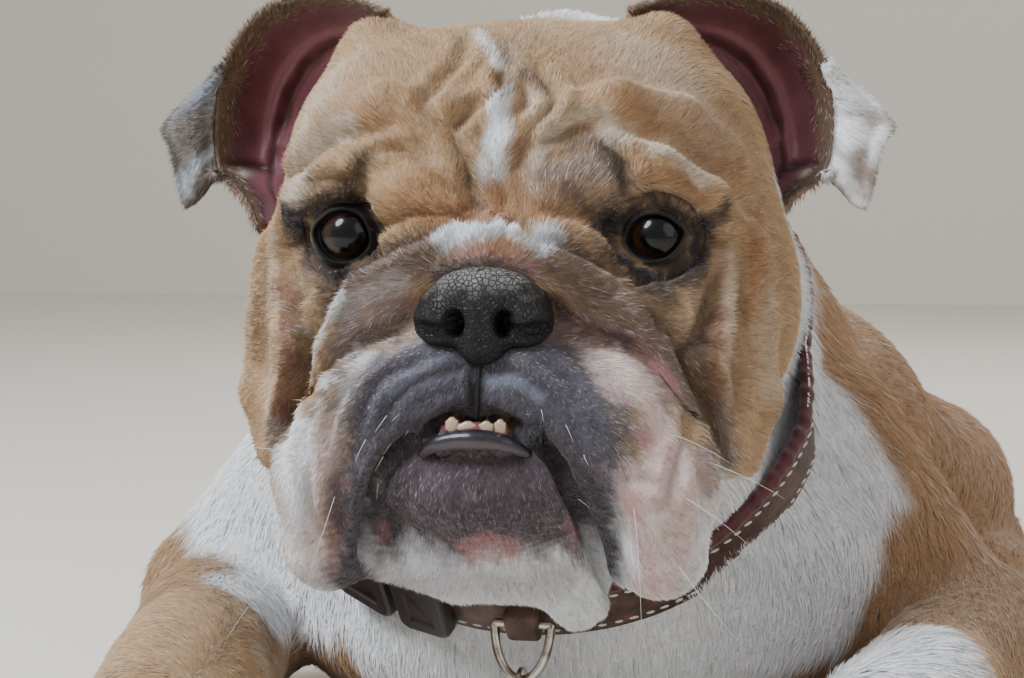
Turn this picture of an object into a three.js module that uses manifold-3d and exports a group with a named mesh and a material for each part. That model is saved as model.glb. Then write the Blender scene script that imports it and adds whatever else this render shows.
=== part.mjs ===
// An English bulldog lying on its chest with its head up, as a still, life-size model.
// Millimetres, +Z up. The dog faces -Y, its left side is +X, and it rests on the floor z = 0.
// The body is one smooth blend of plain forms. Each sub-part is that blend round its own forms,
// parted from its neighbours by a thin cut.
import * as THREE from 'three';
import { mergeVertices } from 'three/addons/utils/BufferGeometryUtils.js';
import Module from 'manifold-3d';

const wasm = await Module();
wasm.setup();

// Driving sizes
const CUT = 0.4;
const BORDER = 9;
const WIDE_BORDER = 26;
const NOSE_BORDER = 1;
const HEAD_AT = [4.7, -300, 199];
const HEAD_YAW_DEG = 6.4;
const EYE_SPACING = 107;
const EYE_RADIUS = 12.5;
const EYE_DEPTH = 10.5;
const LID_THICKNESS = 2.6;
const LID_OPENING = [11.6, 30, 9.2];
const EAR_THICKNESS = 4;
const CLAW_LENGTH = 15;
const CLAW_RADIUS = 3.6;
const COLLAR_AT = [0, -158, 144];
const COLLAR_SLANT_DEG = 41;
const COLLAR_WIDTH = 25;
const COLLAR_THICKNESS = 4.5;
const RING_WIRE = 1.7;
const TAG_RADIUS = 10.5;
const TAG_THICKNESS = 2.4;

// Places. Head forms are set from the point between the eyes, and turn with the head.
const headPlace = new THREE.Matrix4().makeTranslation(...HEAD_AT)
  .multiply(new THREE.Matrix4().makeRotationZ(THREE.MathUtils.degToRad(HEAD_YAW_DEG)));
const bodyPlace = new THREE.Matrix4();
const vec = (p) => new THREE.Vector3(...p);
const onSide = (p, side) => [p[0] * side, p[1], p[2]];
const inHead = (p) => vec(p).applyMatrix4(headPlace);

// A form is an oval, or a roll through a few points with a radius at each. Its blend is how softly
// it joins the rest.
const oval = (at, half, blend) => ({ at, half, blend });
const roll = (points, radii, blend) => ({ points, radii, blend });
const mirror = (form) => (form.half
  ? { ...form, at: onSide(form.at, -1) }
  : { ...form, points: form.points.map((p) => onSide(p, -1)) });
const pair = (form) => [form, mirror(form)];

const HEAD_FORMS = [
  // skull, temples, cheeks
  oval([-3, 76, 20], [84, 76, 58], 16),
  ...pair(oval([43, 70, 27], [43, 58, 46], 16)),
  ...pair(oval([55, 58, -26], [47, 52, 54], 14)),
  oval([0, 40, -30], [72, 56, 62], 14),
  // where the ears grow out of the head
  oval([49, 70, 63], [17, 22, 19], 10),
  oval([-55, 70, 63], [17, 22, 19], 10),
  // brow pads, brow folds, forehead ridges, the ridge under the blaze
  ...pair(oval([27, 4, 13], [19, 15, 14], 4)),
  ...pair(roll([[34, 8, 27], [54, 5, 21], [70, 12, 12], [80, 26, -3]], [10, 10, 9, 8], 5)),
  ...pair(roll([[8, 6, 27], [21, 8, 39], [40, 12, 44], [60, 20, 39], [75, 34, 26]], [8, 9, 10, 10, 9], 5)),
  roll([[0, 7, 6], [0, 5, 28], [0, 8, 46]], [7, 7, 6], 4),
  // cheek folds, outer and inner
  ...pair(roll([[82, 28, -6], [85, 26, -32], [86, 22, -56], [82, 18, -76]], [10, 10, 11, 9], 5)),
  ...pair(roll([[60, 10, -17], [69, 13, -36], [74, 13, -56], [76, 10, -74]], [11, 12, 12, 10], 6)),
];
const noseRollSide = [[66, 10, -62], [60, 3, -42], [46, -5, -24], [25, -12, -10]];
const MUZZLE_FORMS = [
  oval([0, 6, -52], [52, 40, 36], 10),
  roll([...noseRollSide.map((p) => onSide(p, -1)), [0, -15, -5], ...noseRollSide.toReversed()],
    [13, 14, 15, 14, 12, 14, 15, 14, 13], 5),
  ...pair(roll([[15, -21, -46], [38, -15, -60], [55, -9, -82], [57, -7, -106]], [16, 22, 22, 17], 6)),
];
const NOSE_FORMS = [oval([0, -24, -24], [23, 16, 14], 3)];
const CHIN_FORMS = [
  oval([0, -14, -83], [35, 28, 21], 5),
  roll([[-20, -34, -67], [0, -38, -65], [20, -34, -67]], [3, 4, 3], 3),
];
const THROAT_FORMS = [
  oval([0, 16, -98], [50, 40, 26], 9),
  oval([27, 6, -121], [13, 14, 16], 6),
];
const NECK_FORMS = [
  roll([[5, -215, 188], [2, -160, 172], [0, -105, 150]], [82, 86, 86], 24),
  roll([[-38, -190, 254], [0, -187, 258], [40, -190, 254]], [22, 26, 22], 16),
  oval([0, -205, 108], [85, 66, 66], 18),
];
const TORSO_FORMS = [
  oval([0, -80, 104], [114, 140, 105], 30),
  oval([-2, -140, 66], [134, 96, 66], 24),
  oval([-2, -152, 36], [122, 84, 40], 20),
  oval([0, 85, 88], [122, 140, 88], 30),
  oval([0, 188, 86], [100, 86, 78], 26),
];
const THIGH = oval([96, 152, 52], [62, 90, 58], 18);
const HIND_FOOT = roll([[138, 212, 25], [146, 150, 22], [149, 95, 23]], [22, 20, 23], 12);
const UPPER_ARM = {
  left: roll([[86, -125, 98], [142, -142, 44]], [50, 34], 20),
  right: roll([[-94, -138, 100], [-148, -162, 46]], [52, 37], 20),
};
const FOREARM = {
  left: roll([[156, -145, 36], [144, -236, 31], [134, -275, 28]], [34, 29, 29], 12),
  right: roll([[-148, -165, 38], [-118, -285, 32], [-108, -338, 28]], [36, 31, 28], 12),
};
const TAIL = roll([[0, 258, 142], [8, 284, 132], [-3, 298, 112], [-11, 292, 96]], [17, 13, 9, 6], 10);

// Each paw has four toes, spread across the way that it points.
const TOE_SPREAD = [-21, -7.5, 7.5, 21];
const TOE_LENGTH = [21, 27, 27, 21];
const TOE_RADII = [14, 13];
const TOE_ROOT_Z = 24;
const TOE_TIP_Z = 16;
const PAWS = {
  front_left: { at: [133, -284], turnDeg: 8 },
  front_right: { at: [-107, -349], turnDeg: -14 },
  hind_left: { at: [149, 92], turnDeg: 0 },
  hind_right: { at: [-149, 92], turnDeg: 0 },
};

function toeLine(paw, i) {
  const angle = THREE.MathUtils.degToRad(paw.turnDeg);
  const across = new THREE.Vector3(Math.cos(angle), -Math.sin(angle), 0);
  const ahead = new THREE.Vector3(-Math.sin(angle), -Math.cos(angle), 0);
  const root = vec([...paw.at, TOE_ROOT_Z]).addScaledVector(across, TOE_SPREAD[i]);
  const tip = root.clone().addScaledVector(ahead, TOE_LENGTH[i]).setZ(TOE_TIP_Z);
  return { root, tip, ahead };
}

function toeForms(paw) {
  return TOE_SPREAD.map((_, i) => {
    const { root, tip } = toeLine(paw, i);
    return roll([root.toArray(), tip.toArray()], TOE_RADII, 5);
  });
}

// Every form is set in the body's frame once, with the node that it belongs to.
const placedForms = [];

function place(node, forms, matrix) {
  const turn = new THREE.Matrix3().setFromMatrix4(matrix);
  for (const form of forms) {
    placedForms.push({
      node,
      blend: form.blend,
      half: form.half,
      at: form.half && vec(form.at).applyMatrix4(matrix),
      unturn: turn.clone().transpose(),
      points: form.points?.map((p) => vec(p).applyMatrix4(matrix)),
      radii: form.radii,
    });
  }
}

place('head', HEAD_FORMS, headPlace);
place('muzzle', MUZZLE_FORMS, headPlace);
place('nose', NOSE_FORMS, headPlace);
place('chin', CHIN_FORMS, headPlace);
place('neck', THROAT_FORMS, headPlace);
place('neck', NECK_FORMS, bodyPlace);
place('torso', TORSO_FORMS, bodyPlace);
place('thigh_left', [THIGH], bodyPlace);
place('thigh_right', [mirror(THIGH)], bodyPlace);
place('hind_foot_left', [HIND_FOOT], bodyPlace);
place('hind_foot_right', [mirror(HIND_FOOT)], bodyPlace);
for (const side of ['left', 'right']) {
  place(`upper_arm_${side}`, [UPPER_ARM[side]], bodyPlace);
  place(`forearm_${side}`, [FOREARM[side]], bodyPlace);
  place(`front_paw_${side}`, toeForms(PAWS[`front_${side}`]), bodyPlace);
  place(`hind_paw_${side}`, toeForms(PAWS[`hind_${side}`]), bodyPlace);
}
place('tail', [TAIL], bodyPlace);

// How far a point lies outside one form.
const local = new THREE.Vector3();
const chord = new THREE.Vector3();
const ROLL_BLEND = 4;

function softMin(a, b, blend) {
  const h = Math.max(blend - Math.abs(a - b), 0) / blend;
  return Math.min(a, b) - h * h * blend / 4;
}

function outsideOval(form, point) {
  local.copy(point).sub(form.at).applyMatrix3(form.unturn);
  const [a, b, c] = form.half;
  const k0 = Math.hypot(local.x / a, local.y / b, local.z / c);
  const k1 = Math.hypot(local.x / a / a, local.y / b / b, local.z / c / c);
  return k1 === 0 ? -Math.min(a, b, c) : k0 * (k0 - 1) / k1;
}

function outsideRoll(form, point) {
  let least = Infinity;
  for (let i = 1; i < form.points.length; i++) {
    const start = form.points[i - 1];
    chord.copy(form.points[i]).sub(start);
    local.copy(point).sub(start);
    const t = THREE.MathUtils.clamp(local.dot(chord) / chord.lengthSq(), 0, 1);
    const away = local.addScaledVector(chord, -t).length();
    const d = away - THREE.MathUtils.lerp(form.radii[i - 1], form.radii[i], t);
    least = i === 1 ? d : softMin(least, d, ROLL_BLEND);
  }
  return least;
}

const outsideForm = (form, point) => (form.half ? outsideOval(form, point) : outsideRoll(form, point));

function blendOf(forms) {
  return (point) => forms.reduce((f, form) => softMin(f, outsideForm(form, point), form.blend), 1e3);
}
const wholeBody = blendOf(placedForms);

// The surface of a node: the whole body's blend, kept to within a border of the node's own forms.
function surfaceOf(node, grow, border) {
  const own = blendOf(placedForms.filter((form) => form.node === node));
  return (point) => {
    const near = own(point) - border;
    return near > 0 ? near - grow : Math.max(wholeBody(point), near) - grow;
  };
}

// Solids. A closed geometry becomes a manifold, and back.
function solid(geometry) {
  const plain = new THREE.BufferGeometry();
  plain.setAttribute('position', geometry.attributes.position);
  plain.setIndex(geometry.index);
  const merged = mergeVertices(plain, 1e-4);
  const mesh = new wasm.Mesh({
    numProp: 3,
    vertProperties: new Float32Array(merged.attributes.position.array),
    triVerts: new Uint32Array(merged.index.array),
  });
  return new wasm.Manifold(mesh);
}

function largest(body) {
  const pieces = body.decompose();
  return pieces.reduce((best, piece) => (piece.volume() > best.volume() ? piece : best));
}

function geometryOf(body) {
  const mesh = body.getMesh();
  const geometry = new THREE.BufferGeometry();
  geometry.setAttribute('position', new THREE.BufferAttribute(new Float32Array(mesh.vertProperties), 3));
  geometry.setIndex(new THREE.BufferAttribute(new Uint32Array(mesh.triVerts), 1));
  geometry.computeVertexNormals();
  return geometry;
}

// Moves each vertex of a closed geometry.
function shaped(geometry, move) {
  const position = geometry.attributes.position;
  const point = new THREE.Vector3();
  for (let i = 0; i < position.count; i++) {
    point.fromBufferAttribute(position, i);
    move(point);
    position.setXYZ(i, point.x, point.y, point.z);
  }
  return geometry;
}

// The outermost point of a surface along a ray, found from outside in.
const MARCH_STEP = 3;
const HALVINGS = 12;
const probe = new THREE.Vector3();

function outermost(surface, core, way, reach) {
  const at = (t) => surface(probe.copy(core).addScaledVector(way, t));
  let outer = reach;
  let inner = reach - MARCH_STEP;
  while (inner > 0 && at(inner) > 0) {
    outer = inner;
    inner -= MARCH_STEP;
  }
  for (let i = 0; i < HALVINGS; i++) {
    const middle = (outer + inner) / 2;
    if (at(middle) > 0) outer = middle;
    else inner = middle;
  }
  return Math.max(inner, 1);
}

// A lump grown out from one core point. Lean crowds the faces towards one way, from 0 to below 1.
function lump(node, core, detail, { lean = [0, 0, 0], reach = 240, grow = 0, border = BORDER } = {}) {
  const surface = surfaceOf(node, grow, border);
  const middle = vec(core);
  const leaning = vec(lean);
  return solid(shaped(new THREE.IcosahedronGeometry(1, detail), (point) => {
    const way = point.clone().add(leaning).normalize();
    const t = outermost(surface, middle, way, reach);
    point.copy(middle).addScaledVector(way, t);
  }));
}

const standAlong = (line) => (
  new THREE.Quaternion().setFromUnitVectors(new THREE.Vector3(0, 1, 0), line.clone().normalize()));

// A limb grown out from the line between two points.
function limb(node, start, end, { caps = 3, around = 12, along = 3, reach = 90, grow = 0 } = {}) {
  const surface = surfaceOf(node, grow, BORDER);
  const line = vec(end).sub(vec(start));
  const length = line.length();
  const stand = standAlong(line);
  const middle = vec(start).add(vec(end)).multiplyScalar(0.5);
  return solid(shaped(new THREE.CapsuleGeometry(1, length, caps, around, along), (point) => {
    const core = new THREE.Vector3(0, THREE.MathUtils.clamp(point.y, -length / 2, length / 2), 0);
    const way = point.clone().sub(core).applyQuaternion(stand).normalize();
    core.applyQuaternion(stand).add(middle);
    const t = outermost(surface, core, way, reach);
    point.copy(core).addScaledVector(way, t);
  }));
}

// Nodes of flesh, each with a grown copy that cuts its neighbours.
const flesh = {};

function grown(node, make) {
  flesh[node] = { body: make(0), cutter: make(CUT) };
}
const inHeadArray = (p) => inHead(p).toArray();
const wide = { border: WIDE_BORDER };
grown('head', (grow) => lump('head', inHeadArray([0, 58, -8]), 9,
  { lean: [0.05, -0.42, -0.08], grow, reach: 150 }));
grown('muzzle', (grow) => lump('muzzle', inHeadArray([0, 4, -58]), 7,
  { ...wide, lean: [0, -0.4, -0.1], grow, reach: 130 }));
grown('nose', (grow) => lump('nose', inHeadArray([0, -22, -24]), 3,
  { border: NOSE_BORDER, lean: [0, -0.3, 0], grow, reach: 45 }));
grown('chin', (grow) => lump('chin', inHeadArray([0, -14, -82]), 4,
  { ...wide, lean: [0, -0.3, 0], grow, reach: 90 }));
grown('neck', (grow) => lump('neck', [2, -205, 140], 5, { ...wide, grow, reach: 170 }));
grown('torso', (grow) => lump('torso', [0, 30, 100], 6, { grow, reach: 290 }));

function toeMiddle(paw) {
  const sum = new THREE.Vector3();
  for (let i = 0; i < TOE_SPREAD.length; i++) {
    const { root, tip } = toeLine(paw, i);
    sum.add(root).add(tip);
  }
  sum.multiplyScalar(0.5 / TOE_SPREAD.length);
  return [sum.x, sum.y, (TOE_ROOT_Z + TOE_TIP_Z) / 2];
}

for (const [side, sign] of [['left', 1], ['right', -1]]) {
  const arm = UPPER_ARM[side].points;
  const fore = FOREARM[side].points;
  grown(`thigh_${side}`, (grow) => lump(`thigh_${side}`, onSide([90, 165, 48], sign), 3, { grow, reach: 120 }));
  grown(`hind_foot_${side}`, (grow) => limb(`hind_foot_${side}`, onSide([141, 200, 24], sign),
    onSide([149, 105, 23], sign), { grow }));
  grown(`upper_arm_${side}`, (grow) => limb(`upper_arm_${side}`, arm[0], arm[1], { grow }));
  grown(`forearm_${side}`, (grow) => limb(`forearm_${side}`, fore[0], fore[2], { grow, around: 11, along: 5 }));
  grown(`front_paw_${side}`, (grow) => lump(`front_paw_${side}`, toeMiddle(PAWS[`front_${side}`]), 4,
    { grow, reach: 60 }));
  grown(`hind_paw_${side}`, (grow) => lump(`hind_paw_${side}`, toeMiddle(PAWS[`hind_${side}`]), 3,
    { grow, reach: 60 }));
}
grown('tail', (grow) => limb('tail', [4, 262, 140], [-2, 290, 112], { grow, around: 9, reach: 40 }));

// Plain solids for the pieces that aren't grown from the blend.
function ovalSolid(at, half, around = 20, down = 12) {
  const ball = new THREE.SphereGeometry(1, around, down);
  ball.scale(...half);
  ball.translate(...at);
  return solid(ball);
}

function rod(start, end, radius, around = 8) {
  const line = end.clone().sub(start);
  const geometry = new THREE.CapsuleGeometry(radius, line.length(), 2, around);
  geometry.applyQuaternion(standAlong(line));
  geometry.translate(...start.clone().add(end).multiplyScalar(0.5).toArray());
  return solid(geometry);
}

function turned(body, matrix) {
  return solid(geometryOf(body).applyMatrix4(matrix));
}

// A curved sheet of even thickness over u and v from 0 to 1.
const SLOPE_STEP = 0.01;

function sheet(acrossFaces, alongFaces, thickness, pointAt) {
  const slopeU = new THREE.Vector3();
  const slopeV = new THREE.Vector3();
  return solid(shaped(new THREE.BoxGeometry(1, 1, 1, acrossFaces, alongFaces, 1), (point) => {
    const u = point.x + 0.5;
    const v = point.y + 0.5;
    slopeU.copy(pointAt(u + SLOPE_STEP, v)).sub(pointAt(u - SLOPE_STEP, v));
    slopeV.copy(pointAt(u, v + SLOPE_STEP)).sub(pointAt(u, v - SLOPE_STEP));
    const out = slopeU.cross(slopeV).normalize().multiplyScalar(point.z * thickness);
    point.copy(pointAt(u, v)).add(out);
  }));
}

// Eyes: a ball with a raised cornea, behind lids that are a shell with an almond opening.
const CORNEA_RISE = 1.2;
const CORNEA_SPAN = 0.8;

function eyeBall(side, grow) {
  const ball = new THREE.SphereGeometry(1, 14, 9);
  ball.rotateX(Math.PI / 2);
  shaped(ball, (point) => {
    const rise = CORNEA_RISE * THREE.MathUtils.smoothstep(-point.y, 1 - CORNEA_SPAN, 1) ** 2;
    point.multiplyScalar(EYE_RADIUS + rise + grow);
  });
  ball.translate(side * EYE_SPACING / 2, EYE_DEPTH, 0);
  return ball.applyMatrix4(headPlace);
}

function lids(side, grow) {
  const outer = ovalSolid([0, 0, 0], Array(3).fill(EYE_RADIUS + LID_THICKNESS + grow), 12, 8);
  if (grow > 0) return turned(outer, eyePlace(side));
  const back = new THREE.BoxGeometry(60, 40, 60);
  back.translate(0, 20 + EYE_RADIUS * 0.35, 0);
  const opening = ovalSolid([0, -EYE_RADIUS, 0], LID_OPENING, 14, 8);
  return turned(outer.subtract(solid(back)).subtract(opening), eyePlace(side));
}

function eyePlace(side) {
  return headPlace.clone().multiply(new THREE.Matrix4().makeTranslation(side * EYE_SPACING / 2, EYE_DEPTH, 0));
}

// Ears: a cup that opens forwards, with the tip of the flap folded out and down from its rim.
const EAR_ROOT = new THREE.CatmullRomCurve3([[40, 76, 66], [62, 84, 48], [78, 84, 22], [84, 74, -4]].map(vec));
const EAR_RIM = new THREE.CatmullRomCurve3([[46, 62, 81], [70, 74, 88], [96, 84, 84], [112, 88, 67],
  [118, 90, 44], [116, 86, 24], [104, 76, 13], [95, 64, 2]].map(vec));
const FLAP_EDGE = new THREE.CatmullRomCurve3([[114, 90, 63], [138, 93, 42], [135, 92, 30], [129, 86, 9],
  [119, 86, 24]].map(vec));
const FLAP_SPAN = [0.48, 0.76];
const CUP_DEPTH = 22;
const PLEAT_DEPTH = 3;
const EARS_ASIDE = [-6, 0, 0];

function cupPoint(u, v) {
  const along = THREE.MathUtils.clamp(u, 0, 1);
  const rim = EAR_RIM.getPoint(along);
  const root = EAR_ROOT.getPoint(along);
  const hollow = CUP_DEPTH * Math.sin(Math.PI * THREE.MathUtils.clamp(v, 0, 1)) * Math.sin(Math.PI * along);
  return root.lerp(rim, v).add(new THREE.Vector3(0, hollow, 0));
}

function flapPoint(u, v) {
  const along = THREE.MathUtils.clamp(u, 0, 1);
  const fold = EAR_RIM.getPoint(THREE.MathUtils.lerp(...FLAP_SPAN, along));
  const edge = FLAP_EDGE.getPoint(along);
  const pleat = PLEAT_DEPTH * v * Math.sin(3 * Math.PI * along);
  return fold.lerp(edge, v).add(new THREE.Vector3(0, pleat, 0));
}

function ear(side) {
  const cup = sheet(12, 5, EAR_THICKNESS, cupPoint);
  const flap = sheet(7, 3, EAR_THICKNESS, flapPoint);
  const both = cup.add(flap);
  const place = headPlace.clone().multiply(new THREE.Matrix4().makeTranslation(...EARS_ASIDE));
  if (side < 0) place.multiply(new THREE.Matrix4().makeScale(-1, 1, 1));
  const geometry = geometryOf(both);
  geometry.applyMatrix4(place);
  if (side < 0) geometry.index.array.reverse();
  return solid(geometry);
}

// Mouth: a gap between the lips that shows the front teeth of the lower jaw.
const MOUTH_GAP = { at: [0, -40, -61], half: [15, 16, 3.2] };
const GUM_END = [11, -33, -66];
const GUM_RADIUS = 3.2;
const TEETH = [
  { at: [-9.5, -35, -61.5], half: [2.6, 2.4, 3.6] },
  { at: [-3.2, -36, -62], half: [2.6, 2, 2.9] },
  { at: [2.6, -36, -62], half: [2.6, 2, 2.9] },
  { at: [9.3, -35, -61.5], half: [2.7, 2.4, 3.7] },
];

function lowerTeeth(grow) {
  const gum = rod(vec(onSide(GUM_END, -1)), vec(GUM_END), GUM_RADIUS + grow, 6);
  const row = TEETH.reduce((body, { at, half }) => body.add(ovalSolid(at, half.map((h) => h + grow), 7, 5)), gum);
  return turned(row, headPlace);
}

// Nostrils: a round hole that runs out into a slit, on each side of the nose.
const NOSTRIL = { at: [9.5, -38, -25], half: [4.6, 9, 5] };
const SLIT = { from: [12, -39, -28], to: [21, -31, -31], radius: 1.5 };
const LIP_GROOVE = { from: [0, -38, -36], to: [0, -40, -60], radius: 1.1 };

function nostrils() {
  const holes = [1, -1].flatMap((side) => [
    ovalSolid(onSide(NOSTRIL.at, side), NOSTRIL.half, 12, 8),
    rod(vec(onSide(SLIT.from, side)), vec(onSide(SLIT.to, side)), SLIT.radius, 8),
  ]);
  return turned(holes.reduce((a, b) => a.add(b)), headPlace);
}

function lipGroove() {
  return turned(rod(vec(LIP_GROOVE.from), vec(LIP_GROOVE.to), LIP_GROOVE.radius, 8), headPlace);
}

// Claws: one at the tip of each toe, curved down.
const CLAW_SINK = 4;
const CLAW_DROP = 5;

function claw(line) {
  const cone = new THREE.ConeGeometry(1, 1, 6, 2);
  const sideways = new THREE.Vector3(line.ahead.y, -line.ahead.x, 0);
  const root = line.tip.clone().addScaledVector(line.ahead, TOE_RADII[1] - CLAW_SINK);
  return solid(shaped(cone, (point) => {
    const t = point.y + 0.5;
    const across = point.x * CLAW_RADIUS;
    const rise = point.z * CLAW_RADIUS - CLAW_DROP * t * t;
    point.copy(root).addScaledVector(line.ahead, t * CLAW_LENGTH).addScaledVector(sideways, across);
    point.z += rise;
  }));
}

// The collar: a strap drawn round the neck, so its radius follows the neck's own.
const STRAP_STEPS = 48;
const STRAP_SINK = 1.5;
const STRAP_ROUNDING = 1;
const LATHE_RADIUS = 100;
const slant = THREE.MathUtils.degToRad(COLLAR_SLANT_DEG);
const strapUp = new THREE.Vector3(0, Math.cos(slant), Math.sin(slant));
const strapAxis = new THREE.Vector3(0, -Math.sin(slant), Math.cos(slant));
const collarCentre = vec(COLLAR_AT);

// Angle 0 is the lowest point of the strap, and a quarter turn on is the dog's left.
function outFromCollar(angle) {
  return new THREE.Vector3(Math.sin(angle), 0, 0).addScaledVector(strapUp, -Math.cos(angle));
}

const neckAlone = blendOf(placedForms.filter((form) => ['neck', 'torso'].includes(form.node)));
const strapRadii = Array.from({ length: STRAP_STEPS }, (_, i) => (
  outermost(neckAlone, collarCentre, outFromCollar(i / STRAP_STEPS * 2 * Math.PI), 190)));
const SMOOTH_REACH = 4;
const COLLAR_CLEARANCE = 40;

function strapRadius(angle) {
  const at = ((angle / (2 * Math.PI)) % 1 + 1) % 1 * STRAP_STEPS;
  let sum = 0;
  for (let k = -SMOOTH_REACH; k <= SMOOTH_REACH; k++) {
    const i = Math.floor(at) + k;
    const near = strapRadii[(i + STRAP_STEPS) % STRAP_STEPS];
    const next = strapRadii[(i + 1 + STRAP_STEPS) % STRAP_STEPS];
    sum += THREE.MathUtils.lerp(near, next, at % 1);
  }
  return sum / (2 * SMOOTH_REACH + 1);
}

// A point by its angle round the collar, its height off the neck and its place across the strap.
function onStrap(angle, height, across) {
  const radius = strapRadius(angle) - STRAP_SINK + height;
  return collarCentre.clone().addScaledVector(outFromCollar(angle), radius).addScaledVector(strapAxis, across);
}

function strapFrame(angle) {
  const out = outFromCollar(angle);
  const along = strapAxis.clone().cross(out);
  return new THREE.Matrix4().makeBasis(along, strapAxis, out).setPosition(onStrap(angle, 0, 0));
}

function strapBand(width, low, high) {
  const half = width / 2;
  const profile = [[low, -half], [high, STRAP_ROUNDING - half], [high, half - STRAP_ROUNDING], [low, half], [low, -half]];
  const ring = new THREE.LatheGeometry(profile.map(([r, y]) => new THREE.Vector2(r + LATHE_RADIUS, y)), STRAP_STEPS);
  return solid(shaped(ring, (point) => {
    const angle = Math.atan2(point.x, point.z);
    const height = Math.hypot(point.x, point.z) - LATHE_RADIUS;
    point.copy(onStrap(angle, height, point.y));
  }));
}

// Pieces on the collar stand on the strap's outer face, with z out from the neck.
function roundedBlock(size, radius, at) {
  const [w, h, d] = size;
  const outline = new THREE.Shape();
  outline.moveTo(-w / 2 + radius, -h / 2);
  outline.absarc(w / 2 - radius, -h / 2 + radius, radius, -Math.PI / 2, 0);
  outline.absarc(w / 2 - radius, h / 2 - radius, radius, 0, Math.PI / 2);
  outline.absarc(-w / 2 + radius, h / 2 - radius, radius, Math.PI / 2, Math.PI);
  outline.absarc(-w / 2 + radius, -h / 2 + radius, radius, Math.PI, 1.5 * Math.PI);
  const block = new THREE.ExtrudeGeometry(outline, { depth: d, bevelEnabled: false, curveSegments: 3 });
  block.translate(...at);
  return solid(block);
}

const BUCKLE_ANGLE = -0.52;
const BUCKLE_SIZE = [30, 32, 9];
const TONGUE_SIZE = [22, 28, 7];
const KEEPER_SIZE = [13, 14, 7];
const RING_ANGLE = 0.02;
const HANG_HEIGHT = COLLAR_THICKNESS + 4;
const BUCKLE_SPACE = 2;

function blockOnStrap(size, radius, angle, gap) {
  const block = roundedBlock(size.map((side) => side + 2 * gap), radius, [0, 0, COLLAR_THICKNESS + CUT - gap]);
  return turned(block, strapFrame(angle));
}

const buckleBody = (gap) => blockOnStrap(BUCKLE_SIZE, 6, BUCKLE_ANGLE, gap);

function buckleTongue(gap) {
  const shift = (BUCKLE_SIZE[0] + TONGUE_SIZE[0]) / 2 + BUCKLE_SPACE;
  return blockOnStrap(TONGUE_SIZE, 5, BUCKLE_ANGLE + shift / strapRadius(BUCKLE_ANGLE), gap);
}

function keeper() {
  const block = roundedBlock(KEEPER_SIZE, 2.5, [0, 0, COLLAR_THICKNESS + CUT]);
  const bore = new THREE.Vector3(KEEPER_SIZE[0], 0, HANG_HEIGHT);
  const hole = rod(bore.clone().setX(-bore.x), bore, RING_WIRE + CUT, 10);
  return turned(block.subtract(hole), strapFrame(RING_ANGLE));
}

// The D-ring hangs from its keeper, a split ring hangs in it, and the tag hangs in that.
const D_WIDTH = 21;
const D_DROP = 20;
const hangFrom = onStrap(RING_ANGLE, HANG_HEIGHT, 0);
const ringAcross = new THREE.Vector3(1, 0, 0);
const ringDown = new THREE.Vector3(0, -0.12, -1).normalize();
const ringFacing = ringDown.clone().cross(ringAcross);

function dRing() {
  const ring = new THREE.TorusGeometry(1 + RING_WIRE, RING_WIRE, 6, 22);
  return solid(shaped(ring, (point) => {
    const angle = Math.atan2(point.y, point.x);
    const off = Math.hypot(point.x, point.y) - 1 - RING_WIRE;
    const drop = Math.max(-Math.sin(angle), 0) * D_DROP;
    const facing = point.z;
    point.copy(hangFrom).addScaledVector(ringAcross, Math.cos(angle) * (D_WIDTH / 2 + off));
    point.addScaledVector(ringDown, drop - Math.sin(angle) * off).addScaledVector(ringFacing, facing);
  }));
}

const SPLIT_RADIUS = 7.5;
const SPLIT_WIRE = 1.2;
const SPLIT_SPACE = 1.2;
const splitDrop = D_DROP + SPLIT_RADIUS - RING_WIRE - SPLIT_WIRE - SPLIT_SPACE;
const splitCentre = hangFrom.clone().addScaledVector(ringDown, splitDrop);

function ringSolid(centre, normal, radius, wireRadius, around = 20) {
  const ring = new THREE.TorusGeometry(radius, wireRadius, 6, around);
  ring.applyQuaternion(new THREE.Quaternion().setFromUnitVectors(new THREE.Vector3(0, 0, 1), normal));
  ring.translate(...centre.toArray());
  return solid(ring);
}
const TAG_EYE_RADIUS = 2.8;
const TAG_EYE_WIRE = 1;
const TAG_SPACE = 0.6;
const tagDrop = SPLIT_RADIUS + TAG_EYE_RADIUS - SPLIT_WIRE - TAG_EYE_WIRE - TAG_SPACE;
const tagEyeCentre = splitCentre.clone().addScaledVector(ringDown, tagDrop);

function tag() {
  const disc = new THREE.CylinderGeometry(TAG_RADIUS, TAG_RADIUS, TAG_THICKNESS, 24);
  const centre = tagEyeCentre.clone().addScaledVector(ringDown, TAG_RADIUS + TAG_EYE_RADIUS - 1);
  disc.translate(...centre.toArray());
  const eye = ringSolid(tagEyeCentre, new THREE.Vector3(0, 1, 0), TAG_EYE_RADIUS, TAG_EYE_WIRE, 12);
  return solid(disc).add(eye);
}

// Partings. The muzzle and the chin are arches seen from the front of the head. The neck begins
// behind a line that runs down from the nape and forwards under the jaw.
const FAR = 400;
const FACE_BACK = 14;
const MUZZLE_ARCH = [[28, 9], [50, -11], [64, -32], [73, -60], [88, -88], [92, -160]];
const MOUTH_ARCH = [[11, -60.5], [20, -65], [29, -75], [33, -87], [36, -107], [38, -160]];
const NECK_LINE = [[FACE_BACK, -72], [48, -76], [80, 0], [112, 75], [135, 130], [FAR, 130], [FAR, -FAR],
  [FACE_BACK, -FAR]];

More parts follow.
